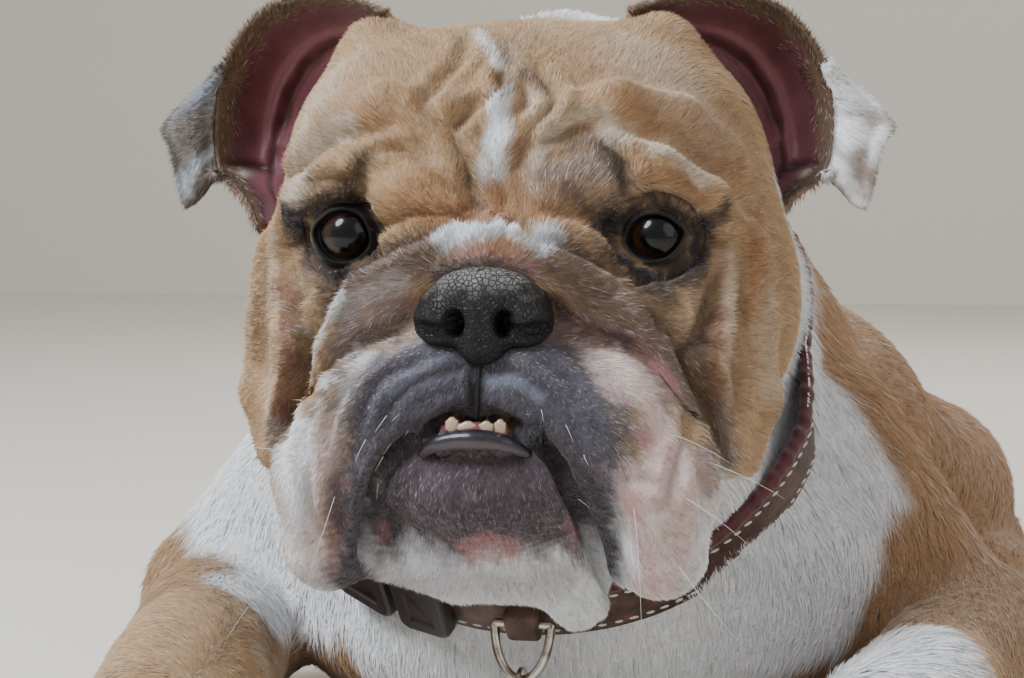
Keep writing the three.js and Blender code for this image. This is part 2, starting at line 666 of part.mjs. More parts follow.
function archBlock(arch, grow) {
  const right = arch.map(([x, z]) => [x + grow, z + (z > -100 ? grow : 0)]);
  const outline = [...right, ...right.map(([x, z]) => [-x, z]).toReversed()];
  const shape = new THREE.Shape(outline.toReversed().map(([x, z]) => new THREE.Vector2(x, z)));
  const block = new THREE.ExtrudeGeometry(shape, { depth: FACE_BACK + 100 + grow, bevelEnabled: false });
  block.rotateX(Math.PI / 2);
  block.translate(0, FACE_BACK + grow, 0);
  return solid(block.applyMatrix4(headPlace));
}

function neckBlock(grow) {
  const shape = new THREE.Shape(NECK_LINE.map(([y, z]) => new THREE.Vector2(y - grow, z + grow)));
  const block = new THREE.ExtrudeGeometry(shape, { depth: 2 * FAR, bevelEnabled: false });
  block.translate(0, 0, -FAR);
  block.applyMatrix4(new THREE.Matrix4().makeBasis(
    new THREE.Vector3(0, 1, 0), new THREE.Vector3(0, 0, 1), new THREE.Vector3(1, 0, 0)));
  return solid(block.applyMatrix4(headPlace));
}

// The half-space ahead of the collar, where the neck is.
function aheadOfCollar(grow) {
  const block = new THREE.BoxGeometry(2 * FAR, 2 * FAR, FAR);
  block.translate(0, 0, FAR / 2 - grow);
  block.applyMatrix4(new THREE.Matrix4().makeBasis(ringAcross, strapUp, strapAxis).setPosition(collarCentre));
  return solid(block);
}

const floorBlock = new THREE.BoxGeometry(3 * FAR, 3 * FAR, FAR);
floorBlock.translate(0, 0, -FAR / 2);
const belowFloor = solid(floorBlock);

// Each node is cut by the grown shapes of those that it gives way to.
const made = {};

function settle(node, body, cutters = []) {
  const rest = cutters.reduce((left, cutter) => left.subtract(cutter), body);
  made[node] = largest(rest);
}
const cutters = (...nodes) => nodes.map((node) => flesh[node].cutter);

const SIDES = { left: 1, right: -1 };
for (const [side, sign] of Object.entries(SIDES)) {
  settle(`eye_${side}`, solid(eyeBall(sign, 0)));
  settle(`eyelids_${side}`, lids(sign, 0), [solid(eyeBall(sign, CUT))]);
}
const mouthGap = turned(ovalSolid(MOUTH_GAP.at, MOUTH_GAP.half, 14, 8), headPlace);
const lidCutters = Object.values(SIDES).map((sign) => lids(sign, CUT));
const teethCutter = lowerTeeth(CUT);
settle('lower_teeth', lowerTeeth(0));
settle('nose', flesh.nose.body, [nostrils()]);
settle('chin', flesh.chin.body.intersect(archBlock(MOUTH_ARCH, 0)), [mouthGap, teethCutter, neckBlock(CUT)]);
settle('muzzle', flesh.muzzle.body.intersect(archBlock(MUZZLE_ARCH, 0)),
  [...cutters('nose'), archBlock(MOUTH_ARCH, CUT), neckBlock(CUT), mouthGap, teethCutter,
    lipGroove(), ...lidCutters]);
settle('head', flesh.head.body, [archBlock(MUZZLE_ARCH, CUT), neckBlock(CUT), ...lidCutters]);
for (const [side, sign] of Object.entries(SIDES)) settle(`ear_${side}`, ear(sign), cutters('head', 'neck'));

const collarCutter = strapBand(COLLAR_WIDTH + 2 * CUT, -CUT, COLLAR_THICKNESS + COLLAR_CLEARANCE);
settle('collar', strapBand(COLLAR_WIDTH, 0, COLLAR_THICKNESS));
const strapCutter = strapBand(COLLAR_WIDTH + 2 * CUT, -CUT, COLLAR_THICKNESS + CUT);
settle('buckle_body', buckleBody(0), [strapCutter]);
settle('buckle_tongue', buckleTongue(0), [strapCutter]);
const buckleCutters = [buckleBody(CUT), buckleTongue(CUT)];
settle('ring_keeper', keeper(), [strapCutter]);
settle('d_ring', dRing());
settle('split_ring', ringSolid(splitCentre, ringAcross, SPLIT_RADIUS, SPLIT_WIRE));
settle('tag', tag());

const backOfHead = flesh.neck.body.add(flesh.head.body);
settle('neck', backOfHead.intersect(neckBlock(0)).intersect(aheadOfCollar(0)),
  [collarCutter, ...buckleCutters, ...cutters('upper_arm_left', 'upper_arm_right')]);
for (const side of ['left', 'right']) {
  settle(`front_paw_${side}`, flesh[`front_paw_${side}`].body, [belowFloor]);
  settle(`forearm_${side}`, flesh[`forearm_${side}`].body, [...cutters(`front_paw_${side}`), belowFloor]);
  settle(`upper_arm_${side}`, flesh[`upper_arm_${side}`].body,
    [...cutters(`forearm_${side}`, `front_paw_${side}`), collarCutter, belowFloor]);
  settle(`hind_paw_${side}`, flesh[`hind_paw_${side}`].body, [belowFloor]);
  settle(`hind_foot_${side}`, flesh[`hind_foot_${side}`].body, [...cutters(`hind_paw_${side}`), belowFloor]);
  settle(`thigh_${side}`, flesh[`thigh_${side}`].body,
    [...cutters(`hind_foot_${side}`, `hind_paw_${side}`), belowFloor]);
  for (const end of ['front', 'hind']) {
    TOE_SPREAD.forEach((_, i) => {
      const line = toeLine(PAWS[`${end}_${side}`], i);
      settle(`claw_${end}_${side}_${i + 1}`, claw(line), [...cutters(`${end}_paw_${side}`), belowFloor]);
    });
  }
}
settle('tail', flesh.tail.body);
settle('torso', flesh.torso.body, [
  aheadOfCollar(CUT), collarCutter, ...buckleCutters, belowFloor, ...cutters('tail'),
  ...['left', 'right'].flatMap((side) => cutters(`upper_arm_${side}`, `forearm_${side}`, `thigh_${side}`,
    `hind_foot_${side}`)),
]);

// Colours by the start of the node's name.
const FINISHES = {
  eye_: { color: 0x2a1810, roughness: 0.1 },
  eyelids: { color: 0x3a2f2f, roughness: 0.5 },
  lower_teeth: { color: 0xe4d8b8, roughness: 0.3 },
  nose: { color: 0x33302f, roughness: 0.6 },
  chin: { color: 0x6a5c62, roughness: 0.8 },
  muzzle: { color: 0xc9b3ae, roughness: 0.85 },
  neck: { color: 0xe8e4df, roughness: 0.85 },
  ear: { color: 0x8a5a45, roughness: 0.85 },
  collar: { color: 0x4a2b26, roughness: 0.5 },
  buckle: { color: 0x241d1c, roughness: 0.45 },
  ring_keeper: { color: 0x3b2420, roughness: 0.5 },
  d_ring: { color: 0xb0aaa2, roughness: 0.25, metalness: 1 },
  split_ring: { color: 0xb8b4ae, roughness: 0.25, metalness: 1 },
  tag: { color: 0xd9a9b4, roughness: 0.3, metalness: 0.3 },
  claw: { color: 0x4b423c, roughness: 0.4 },
  front_paw: { color: 0xe6e2dc, roughness: 0.85 },
  hind_paw: { color: 0xe6e2dc, roughness: 0.85 },
};
const COAT = { color: 0xb98d63, roughness: 0.85 };

const dog = new THREE.Group();
for (const [node, body] of Object.entries(made)) {
  const found = Object.keys(FINISHES).find((start) => node.startsWith(start));
  const mesh = new THREE.Mesh(geometryOf(body), new THREE.MeshStandardMaterial(found ? FINISHES[found] : COAT));
  mesh.name = node;
  dog.add(mesh);
}

// The origin is on the floor, in the middle of the dog's length and width.
const box = new THREE.Box3().setFromObject(dog);
dog.position.set(-(box.min.x + box.max.x) / 2, -(box.min.y + box.max.y) / 2, 0);
dog.updateMatrixWorld(true);

export default dog;
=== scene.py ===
import math

import bmesh
import bpy
import numpy as np
from mathutils import Matrix, Vector


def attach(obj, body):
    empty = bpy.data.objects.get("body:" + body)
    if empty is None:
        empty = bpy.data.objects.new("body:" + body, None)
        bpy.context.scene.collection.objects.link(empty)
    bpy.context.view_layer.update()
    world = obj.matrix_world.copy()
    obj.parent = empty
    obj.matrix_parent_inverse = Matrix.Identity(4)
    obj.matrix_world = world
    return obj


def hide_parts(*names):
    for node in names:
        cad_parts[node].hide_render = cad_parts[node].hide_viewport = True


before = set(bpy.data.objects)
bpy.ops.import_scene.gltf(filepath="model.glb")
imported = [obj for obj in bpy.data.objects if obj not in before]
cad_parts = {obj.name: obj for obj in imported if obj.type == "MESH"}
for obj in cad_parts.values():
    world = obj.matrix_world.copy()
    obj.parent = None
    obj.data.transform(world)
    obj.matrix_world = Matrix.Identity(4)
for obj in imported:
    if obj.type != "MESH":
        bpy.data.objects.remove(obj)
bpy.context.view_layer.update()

# The view: plain pale floor, a large cool window-like light high on the left, and a camera 0.8 m
# from the dog's face, a little to its left. Places are in millimetres from a point on the floor
# under the dog; DOG_PLACE brings them to the frame's origin.
MM = 0.001
METRE = 1000
DOG_PLACE = np.array([-1.6457, 46.9830, 0.0])
CAMERA_AT = [216.7, -1071.4, 220.0]
CAMERA_TURN = math.radians(15)
CAMERA_DIP = math.radians(4)
PHOTO_WIDTH = 1024
FOCUS_PIXELS = 2350
SENSOR = 36.0


def metres(points):
    return (np.asarray(points, float) + DOG_PLACE) * MM


ahead = Vector((
    -math.sin(CAMERA_TURN) * math.cos(CAMERA_DIP),
    math.cos(CAMERA_TURN) * math.cos(CAMERA_DIP),
    -math.sin(CAMERA_DIP),
))
scene = bpy.context.scene
camera = bpy.data.objects.new("camera", bpy.data.cameras.new("camera"))
scene.collection.objects.link(camera)
camera.location = metres(CAMERA_AT)
camera.rotation_euler = ahead.to_track_quat("-Z", "Y").to_euler()
camera.data.sensor_width = SENSOR
camera.data.lens = SENSOR * FOCUS_PIXELS / PHOTO_WIDTH
scene.camera = camera


def soft_light(name, at, aim, size, watts, colour):
    lamp = bpy.data.objects.new(name, bpy.data.lights.new(name, "AREA"))
    lamp.data.shape = "DISK"
    lamp.data.size = size
    lamp.data.energy = watts
    lamp.data.color = colour
    lamp.location = at
    lamp.rotation_euler = (Vector(aim) - Vector(at)).to_track_quat("-Z", "Y").to_euler()
    scene.collection.objects.link(lamp)


FACE = (0.0, -0.26, 0.17)
soft_light("window", (-0.75, -1.0, 1.25), FACE, 0.8, 34, (0.87, 0.94, 1.0))
soft_light("room", (1.5, -1.1, 0.9), FACE, 1.6, 8, (1.0, 0.95, 0.88))
soft_light("back", (0.3, 1.5, 1.6), (0, 0, 0.1), 1.4, 18, (1.0, 0.98, 0.95))
world = bpy.data.worlds.new("room light")
world.use_nodes = True
world.node_tree.nodes["Background"].inputs["Color"].default_value = (0.93, 0.95, 1.0, 1)
world.node_tree.nodes["Background"].inputs["Strength"].default_value = 0.58
scene.world = world


# A finish is a material whose shader takes its look from a few nodes.
class Finish:
    def __init__(self, name, roughness, specular=0.5, **sockets):
        self.material = bpy.data.materials.new(name)
        self.material.use_nodes = True
        self.nodes = self.material.node_tree.nodes
        self.shader = self.nodes["Principled BSDF"]
        self.shader.inputs["Roughness"].default_value = roughness
        self.shader.inputs["Specular IOR Level"].default_value = specular
        for socket, value in sockets.items():
            self.shader.inputs[socket.replace("_", " ")].default_value = value

    def link(self, source, target):
        self.material.node_tree.links.new(source, target)

    def add(self, kind, settings=None, **sockets):
        node = self.nodes.new(kind)
        for key, value in (settings or {}).items():
            setattr(node, key, value)
        for socket, value in sockets.items():
            target = node.inputs[socket.replace("_", " ")]
            if isinstance(value, bpy.types.NodeSocket):
                self.link(value, target)
            else:
                target.default_value = value
        return node

    def place(self):
        return self.add("ShaderNodeTexCoord").outputs["Object"]

    def painted(self, name):
        return self.add("ShaderNodeAttribute", {"attribute_name": name}).outputs["Color"]

    def value(self, name):
        return self.add("ShaderNodeAttribute", {"attribute_name": name}).outputs["Fac"]

    def noise(self, scale, detail=3.0):
        return self.add("ShaderNodeTexNoise", Scale=scale, Detail=detail, Vector=self.place()).outputs["Fac"]

    def cells(self, scale, feature="F1"):
        node = self.add("ShaderNodeTexVoronoi", {"feature": feature}, Scale=scale, Vector=self.place())
        return node.outputs["Distance"]

    def ramp(self, value, stops):
        node = self.add("ShaderNodeValToRGB", Fac=value)
        node.color_ramp.elements[0].position, node.color_ramp.elements[0].color = stops[0]
        node.color_ramp.elements[1].position, node.color_ramp.elements[1].color = stops[-1]
        for position, colour in stops[1:-1]:
            node.color_ramp.elements.new(position).color = colour
        return node.outputs["Color"]

    def mix(self, amount, a, b, way="MIX"):
        node = self.nodes.new("ShaderNodeMix")
        node.data_type = "RGBA"
        node.blend_type = way
        for slot, value in ((0, amount), (6, a), (7, b)):
            if isinstance(value, bpy.types.NodeSocket):
                self.link(value, node.inputs[slot])
            else:
                node.inputs[slot].default_value = value
        return node.outputs[2]

    def colour(self, value):
        target = self.shader.inputs["Base Color"]
        if isinstance(value, bpy.types.NodeSocket):
            self.link(value, target)
        else:
            target.default_value = value

    def bump(self, height, distance, strength=1.0):
        node = self.add("ShaderNodeBump", Height=height, Distance=distance, Strength=strength)
        before = self.shader.inputs["Normal"]
        if before.is_linked:
            self.link(before.links[0].from_socket, node.inputs["Normal"])
        self.link(node.outputs["Normal"], before)


def linear(red, green, blue):
    shares = np.array([red, green, blue]) / 255
    return tuple(np.where(shares < 0.04045, shares / 12.92, ((shares + 0.055) / 1.055) ** 2.4)) + (1.0,)


def shown(name, mesh, finish, slot, *nodes, smooth=True):
    piece = bpy.data.objects.new(name, mesh)
    scene.collection.objects.link(piece)
    if smooth:
        mesh.polygons.foreach_set("use_smooth", np.ones(len(mesh.polygons), bool))
    mesh.materials.append(finish.material)
    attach(piece, "root")
    if nodes:
        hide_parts(*nodes)


# The floor and a wall some way behind, both plain and pale.
bm = bmesh.new()
bmesh.ops.create_grid(bm, x_segments=1, y_segments=1, size=6)
floor_mesh = bpy.data.meshes.new("floor")
bm.to_mesh(floor_mesh)
bm.free()
floor_finish = Finish("pale floor", 0.9, 0.1)
floor_finish.colour(linear(236, 230, 218))
floor = bpy.data.objects.new("floor", floor_mesh)
scene.collection.objects.link(floor)
floor_mesh.materials.append(floor_finish.material)
wall_mesh = floor_mesh.copy()
wall_mesh.transform(Matrix.Translation((0, 3.0, 0)) @ Matrix.Rotation(math.pi / 2, 4, "X"))
wall = bpy.data.objects.new("wall", wall_mesh)
scene.collection.objects.link(wall)

# The body under the coat: one smooth blend of ovals and rolls, in millimetres. Head forms are set
# from the point between the eyes and turn with the head.
EYES_MID = np.array([4.7, -300.0, 199.0])
HEAD_YAW = math.radians(6.4)
HEAD_TURN = np.array([
    [math.cos(HEAD_YAW), -math.sin(HEAD_YAW), 0],
    [math.sin(HEAD_YAW), math.cos(HEAD_YAW), 0],
    [0, 0, 1.0],
])
ROLL_BLEND = 4.0
FAR = 1e3


def from_head(points):
    return EYES_MID + np.asarray(points, float) @ HEAD_TURN.T


def to_head(points):
    return (points - EYES_MID) @ HEAD_TURN


# Which points lie ahead of a depth, between two heights and near the middle, in the head's frame.
def in_front(head, depth, low, high, aside):
    return (head[:, 1] < depth) & (head[:, 2] > low) & (head[:, 2] < high) & (np.abs(head[:, 0]) < aside)


def oval(at, half, blend):
    return [("oval", np.array(at, float), np.array(half, float), blend)]


def roll(points, radii, blend):
    return [("roll", np.array(points, float), np.array(radii, float), blend)]


def pair(forms):
    return forms + [(kind, at * [-1, 1, 1], size, blend) for kind, at, size, blend in forms]


SKULL = (
    oval([-3, 76, 20], [84, 76, 58], 16)
    + pair(oval([43, 70, 27], [43, 58, 46], 16))
    + pair(oval([55, 58, -26], [47, 52, 54], 14))
    + oval([0, 40, -30], [72, 56, 62], 14)
    + oval([49, 70, 63], [17, 22, 19], 10)
    + oval([-55, 70, 63], [17, 22, 19], 10)
)
BROW = (
    pair(oval([27, 4, 13], [19, 15, 14], 4))
    + pair(roll([[34, 8, 27], [54, 5, 21], [70, 12, 12], [80, 26, -3]], [10, 10, 9, 8], 5))
    + pair(roll([[8, 6, 27], [21, 8, 39], [40, 12, 44], [60, 20, 39], [75, 34, 26]], [8, 9, 10, 10, 9], 5))
    + roll([[0, 7, 6], [0, 5, 28], [0, 8, 46]], [7, 7, 6], 4)
)
CHEEKS = (
    pair(roll([[82, 28, -6], [85, 26, -32], [86, 22, -56], [82, 18, -76]], [10, 10, 11, 9], 5))
    + pair(roll([[60, 10, -17], [69, 13, -36], [74, 13, -56], [76, 10, -74]], [11, 12, 12, 10], 6))
)
NOSE_ROLL_SIDE = [[-66, 10, -62], [-60, 3, -42], [-46, -5, -24], [-25, -12, -10]]
MUZZLE = (
    oval([0, 6, -52], [52, 40, 36], 10)
    + roll(NOSE_ROLL_SIDE + [[0, -15, -5]] + [[-x, y, z] for x, y, z in reversed(NOSE_ROLL_SIDE)],
           [13, 14, 15, 14, 12, 14, 15, 14, 13], 5)
    + pair(roll([[15, -21, -46], [38, -15, -60], [55, -9, -82], [57, -7, -106]], [16, 22, 22, 17], 6))
)
CHIN = (
    oval([0, -14, -83], [35, 28, 21], 5)
    + roll([[-20, -34, -67], [0, -38, -65], [20, -34, -67]], [3, 4, 3], 3)
    + oval([0, 16, -98], [50, 40, 26], 9)
    + oval([27, 6, -121], [13, 14, 16], 6)
)
DEWLAP = roll([[-36, 0, -110], [-12, -4, -114], [20, -2, -115]], [11, 12, 12], 9)
NECK = (
    roll([[5, -215, 188], [2, -160, 172], [0, -105, 150]], [82, 86, 86], 24)
    + roll([[-38, -190, 254], [0, -187, 258], [40, -190, 254]], [22, 26, 22], 16)
    + oval([0, -205, 108], [85, 66, 66], 18)
)
TORSO = (
    oval([0, -80, 104], [114, 140, 105], 30)
    + oval([-2, -140, 66], [134, 96, 66], 24)
    + oval([-2, -152, 36], [122, 84, 40], 20)
    + oval([0, 85, 88], [122, 140, 88], 30)
    + oval([0, 188, 86], [100, 86, 78], 26)
)
HAUNCHES = (
    pair(oval([96, 152, 52], [62, 90, 58], 18))
    + pair(roll([[138, 212, 25], [146, 150, 22], [149, 95, 23]], [22, 20, 23], 12))
)
FORELEGS = (
    roll([[86, -125, 98], [142, -142, 44]], [50, 34], 20)
    + roll([[-94, -138, 100], [-148, -162, 46]], [52, 37], 20)
    + roll([[156, -145, 36], [144, -236, 31], [134, -275, 28]], [34, 29, 29], 12)
    + roll([[-148, -165, 38], [-118, -285, 32], [-108, -338, 28]], [36, 31, 28], 12)
)
TAIL = roll([[0, 258, 142], [8, 284, 132], [-3, 298, 112], [-11, 292, 96]], [17, 13, 9, 6], 10)
TOE_SPREAD = [-21, -7.5, 7.5, 21]
TOE_LENGTH = [21, 27, 27, 21]
PAWS = {
    "front_left": ((133, -284), 8),
    "front_right": ((-107, -349), -14),
    "hind_left": ((149, 92), 0),
    "hind_right": ((-149, 92), 0),
}


def toe_line(paw, toe):
    (x, y), degrees = PAWS[paw]
    turn = math.radians(degrees)
    across = np.array([math.cos(turn), -math.sin(turn), 0])
    out = np.array([-math.sin(turn), -math.cos(turn), 0])
    root = np.array([x, y, 24]) + across * TOE_SPREAD[toe]
    tip = root + out * TOE_LENGTH[toe] + [0, 0, -8]
    return root, tip, out


TOES = []
for paw in PAWS:
    for toe in range(4):
        root, tip, _ = toe_line(paw, toe)
        TOES += roll([root, tip], [14, 13], 5)


def placed(head_forms):
    return [(kind, from_head(at), size, blend, HEAD_TURN) for kind, at, size, blend in head_forms]


def unturned(forms):
    return [(kind, at, size, blend, np.eye(3)) for kind, at, size, blend in forms]


BODY = placed(SKULL + BROW + CHEEKS + MUZZLE + CHIN + DEWLAP) + unturned(
    NECK + TORSO + HAUNCHES + FORELEGS + TAIL + TOES)


def joined(a, a_out, b, b_out, blend):
    h = np.maximum(blend - np.abs(a - b), 0) / blend
    share = np.where(a < b, 1 - h / 2, h / 2)[:, None]
    return np.minimum(a, b) - h * h * blend / 4, a_out * share + b_out * (1 - share)


# How far points lie outside one form, and the way out.
def outside_one(form, points):
    kind, at, size, _, turn = form
    if kind == "oval":
        scaled = (points - at) @ turn / size
        slope = scaled / size
        k0 = np.sqrt((scaled * scaled).sum(1))
        k1 = np.sqrt((slope * slope).sum(1)) + 1e-9
        return k0 * (k0 - 1) / k1, (slope / k1[:, None]) @ turn.T
    far = None
    for a, b, wide_a, wide_b in zip(at[:-1], at[1:], size[:-1], size[1:]):
        chord = b - a
        along = np.clip((points - a) @ chord / (chord @ chord), 0, 1)
        away = points - a - along[:, None] * chord
        length = np.sqrt((away * away).sum(1)) + 1e-9
        d = length - wide_a - (wide_b - wide_a) * along
        out = away / length[:, None]
        far, far_out = (d, out) if far is None else joined(far, far_out, d, out, ROLL_BLEND)
    return far, far_out


def form_ball(form):
    kind, at, size = form[:3]
    if kind == "oval":
        return at, size.max()
    middle = (at.min(0) + at.max(0)) / 2
    return middle, (np.linalg.norm(at - middle, axis=1) + size).max()


def outside(points, forms=BODY):
    far = np.full(len(points), FAR)
    out = np.zeros((len(points), 3))
    for form in forms:
        middle, radius = form_ball(form)
        near = np.nonzero(np.linalg.norm(points - middle, axis=1) - radius < far + form[3])[0]
        if len(near):
            d, way = outside_one(form, points[near])
            far[near], out[near] = joined(far[near], out[near], d, way, form[3])
    return far, out / (np.linalg.norm(out, axis=1, keepdims=True) + 1e-9)


def settled(points, level, steps, forms=BODY):
    for _ in range(steps):
        far, out = outside(points, forms)
        points = points - out * np.clip(far - level, -6, 6)[:, None]
    return points


# A place on the face, seen from straight ahead, in millimetres across and up from the eyes.
def on_face(pairs, level=0.0, start=-95.0):
    pairs = np.asarray(pairs, float)
    points = np.column_stack([pairs[:, 0], np.full(len(pairs), start), pairs[:, 1]])
    for _ in range(70):
        far, _ = outside(from_head(points))
        points[:, 1] += np.clip((far - level) * 0.8, 0, 9)
    return points


def curved(pairs, step):
    pairs = np.asarray(pairs, float)
    grown = np.vstack([2 * pairs[0] - pairs[1], pairs, 2 * pairs[-1] - pairs[-2]])
    line = []
    for i in range(1, len(grown) - 2):
        a, b, c, d = grown[i - 1:i + 3]
        count = max(1, int(np.linalg.norm(c - b) / step))
        for t in np.arange(count) / count:
            line.append(0.5 * (2 * b + (c - a) * t + (2 * a - 5 * b + 4 * c - d) * t * t
                               + (3 * b - a - 3 * c + d) * t ** 3))
    return np.array(line + [pairs[-1]])


# Nearest distance from points to a line, and how far along it, from 0 to 1.
def nearest(points, line):
    best = np.full(len(points), FAR)
    along = np.zeros(len(points))
    for i, (a, b) in enumerate(zip(line[:-1], line[1:])):
        chord = b - a
        t = np.clip((points - a) @ chord / max(chord @ chord, 1e-9), 0, 1)
        d = np.linalg.norm(points - a - t[:, None] * chord, axis=1)
        closer = d < best
        best[closer] = d[closer]
        along[closer] = (i + t[closer]) / (len(line) - 1)
    return best, along


def close_to(points, line, reach):
    low = line.min(0) - reach
    high = line.max(0) + reach
    return np.nonzero(((points > low) & (points < high)).all(1))[0]


# Slow waves through space, from -1 to 1, that make edges and lengths uneven.
def waves(points, size, seed):
    random = np.random.default_rng(seed)
    total = np.zeros(len(points))
    for _ in range(5):
        way = random.normal(size=3)
        way *= 2 * math.pi / size / np.linalg.norm(way) * random.uniform(0.7, 1.5)
        total += np.sin(points @ way + random.uniform(0, 6.28))
    return total / 2.6


def ridge(value, at, width):
    return np.exp(-((value - at) / width) ** 2)


def blended(a, b, share):
    return a * (1 - share[:, None]) + np.asarray(b[:3]) * share[:, None]


# The folds of the face. Each is a line seen from straight ahead, from the point between the eyes:
# a width, a depth, and places across and up in millimetres. Left is the left of the picture.
FOLDS = [
    (2.6, 2.6, [(-18, 72), (-17, 64), (-19, 58), (-23, 53), (-26, 46), (-26, 43), (-22, 38), (-17, 35)]),
    (2.4, 3.2, [(-1, 60), (-1, 55), (-3, 50), (-7, 46), (-10, 43), (-13, 39), (-16, 35)]),
    (2.6, 3.4, [(-16, 35), (-14, 30), (-11, 25), (-9, 20), (-7, 13), (-4, 8)]),
    (2.2, 2.6, [(-46, 25), (-40, 29), (-32, 30), (-26, 27), (-19, 23), (-13, 18), (-8, 13)]),
    (2.6, 1.6, [(-52, 34), (-43, 32), (-36, 31), (-29, 28)]),
    (2.5, 3.2, [(10, 62), (12, 57), (17, 51), (18, 46), (15, 40), (11, 35), (9, 30), (7, 25), (7, 19)]),
    (2.4, 3.2, [(8, 21), (11, 25), (14, 30), (18, 32), (24, 35), (29, 37), (35, 37)]),
    (2.4, 2.8, [(35, 33), (41, 30), (44, 23), (44, 16), (43, 11)]),
    (2.4, 2.0, [(44, 29), (54, 25), (62, 21), (70, 16)]),
    (2.0, 1.6, [(-6, 74), (-2, 66), (1, 60)]),
    (2.0, 1.4, [(0, 73), (1, 65), (3, 60)]),
    (2.2, 1.4, [(-22, 77), (-17, 70), (-16, 65)]),
    (2.0, 2.4, [(-1, 57), (1, 52), (0, 48)]),
    (3.0, 5.0, [(4, 7), (-6, 7), (-15, 5), (-23, 2), (-29, 0), (-37, -4), (-46, -7)]),
    (3.2, 5.0, [(-46, -7), (-52, -11), (-54, -16), (-58, -23), (-61, -30), (-64, -37), (-66, -46),
                (-69, -55), (-73, -64), (-73, -71)]),
    (3.0, 5.0, [(4, 7), (11, 6), (17, 2), (26, -1), (33, -4), (41, -8), (46, -12)]),
    (3.2, 5.0, [(46, -12), (52, -17), (56, -23), (59, -29), (62, -34), (66, -42), (69, -51), (72, -60),
                (77, -72), (78, -82)]),
    (1.8, 2.2, [(-67, 3), (-71, 3), (-76, 2)]),
    (2.2, 2.6, [(-44, 25), (-47, 18), (-47, 12), (-44, 6), (-41, 0)]),
    (2.6, 2.2, [(-69, 17), (-58, 19), (-53, 18), (-48, 17)]),
    (1.8, 2.2, [(65, 4), (69, 4), (74, 5), (79, 10)]),
    (2.2, 2.6, [(33, 9), (38, 3), (42, -3), (46, -8)]),
    (2.6, 2.0, [(45, 14), (53, 15), (61, 13), (69, 10)]),
    (3.0, 4.5, [(-76, -6), (-73, -16), (-70, -24), (-66, -32), (-67, -47), (-70, -59), (-70, -69)]),
    (3.0, 3.0, [(-88, 1), (-88, -16), (-87, -34), (-84, -51)]),
    (3.4, 5.0, [(77, -6), (74, -17), (71, -28), (67, -34), (66, -40), (69, -48), (74, -57), (76, -65)]),
    (3.0, 3.0, [(82, -1), (83, -13), (82, -23), (82, -41), (81, -58), (79, -66)]),
    (2.0, 2.2, [(-4, -42), (-14, -44), (-22, -47), (-27, -51), (-30, -55), (-32, -61)]),
    (2.2, 2.2, [(-16, -39), (-24, -41), (-32, -44), (-35, -48), (-38, -54), (-39, -59), (-40, -65)]),
    (2.2, 2.2, [(-31, -37), (-37, -41), (-42, -45), (-46, -51), (-50, -57), (-52, -65), (-54, -72)]),
    (2.2, 2.6, [(-26, -30), (-37, -32), (-46, -36), (-52, -40), (-54, -45), (-55, -50), (-64, -55)]),
    (2.4, 2.4, [(-57, -55), (-61, -61), (-62, -68), (-59, -77), (-58, -93), (-56, -103)]),
    (2.4, 1.6, [(-48, -77), (-50, -87), (-50, -101)]),
    (2.0, 2.4, [(1, -42), (10, -42), (16, -44), (21, -48), (26, -53), (30, -58), (33, -63), (36, -68)]),
    (2.2, 2.2, [(16, -39), (23, -41), (28, -45), (32, -51), (35, -56), (39, -62), (42, -67)]),
    (2.2, 1.8, [(24, -33), (30, -37), (36, -43), (42, -49), (47, -55), (51, -60)]),
    (2.2, 2.4, [(23, -30), (34, -32), (43, -34), (51, -37), (57, -42), (61, -50), (64, -57), (66, -64),
                (65, -71), (63, -78), (61, -87), (55, -90)]),
    (2.2, 2.2, [(57, -37), (63, -47), (66, -58), (69, -66), (71, -75), (73, -85), (73, -96), (70, -106)]),
    (2.0, 1.6, [(51, -77), (55, -79), (59, -80)]),
]
LIP_LEFT = [(-2, -58), (-8, -59), (-14, -62), (-20, -65), (-26, -69), (-31, -74), (-35, -81), (-38, -89),
            (-41, -98), (-42, -108), (-42, -116)]
LIP_RIGHT = [(-2, -58), (3, -59), (8, -61), (14, -64), (20, -68), (25, -74), (29, -83), (32, -93), (35, -103),
             (38, -114), (40, -124)]
LIP_GROOVE = [(-2, -40), (-3, -48), (-3, -58)]
FOLD_STEP = 2.0
FOLD_POWER = 1.3
fold_lines = [(width, depth, on_face(curved(line, FOLD_STEP))) for width, depth, line in FOLDS]
fold_lines += [(2.8, 7.5, on_face(curved(line, FOLD_STEP))) for line in (LIP_LEFT, LIP_RIGHT)]
fold_lines += [(1.3, 2.2, on_face(curved(LIP_GROOVE, FOLD_STEP)))]
MOUTH_MID = np.array([-2.0, -62.2])
MOUTH_HALF = np.array([14.5, 2.5])
MOUTH_DEPTH = 8.0


# How far the folds push the face out or in, and how deep in shade each point of it is.
def folded(points):
    push = np.zeros(len(points))
    shade = np.zeros(len(points))
    for width, depth, line in fold_lines:
        near = close_to(points, line, 4.5 * width)
        if not len(near):
            continue
        d, along = nearest(points[near], line)
        fade = np.clip(5 * np.minimum(along, 1 - along), 0, 1)
        fade = fade * (2 - fade)
        cut = np.exp(-(d / width) ** 1.4)
        swell = 0.38 * ridge(d, 2.2 * width, 1.15 * width)
        push[near] += FOLD_POWER * depth * fade * (swell - cut)
        shade[near] = np.maximum(shade[near], fade * min(1, depth / 4) * np.exp(-(d / width / 0.9) ** 2))
    across = (points[:, [0, 2]] - MOUTH_MID) / MOUTH_HALF
    gap = np.clip(1 - (across * across).sum(1), 0, 1) * (points[:, 1] < -18)
    push -= MOUTH_DEPTH * np.sqrt(gap)
    shade = np.maximum(shade, np.sqrt(gap))
    return push, shade


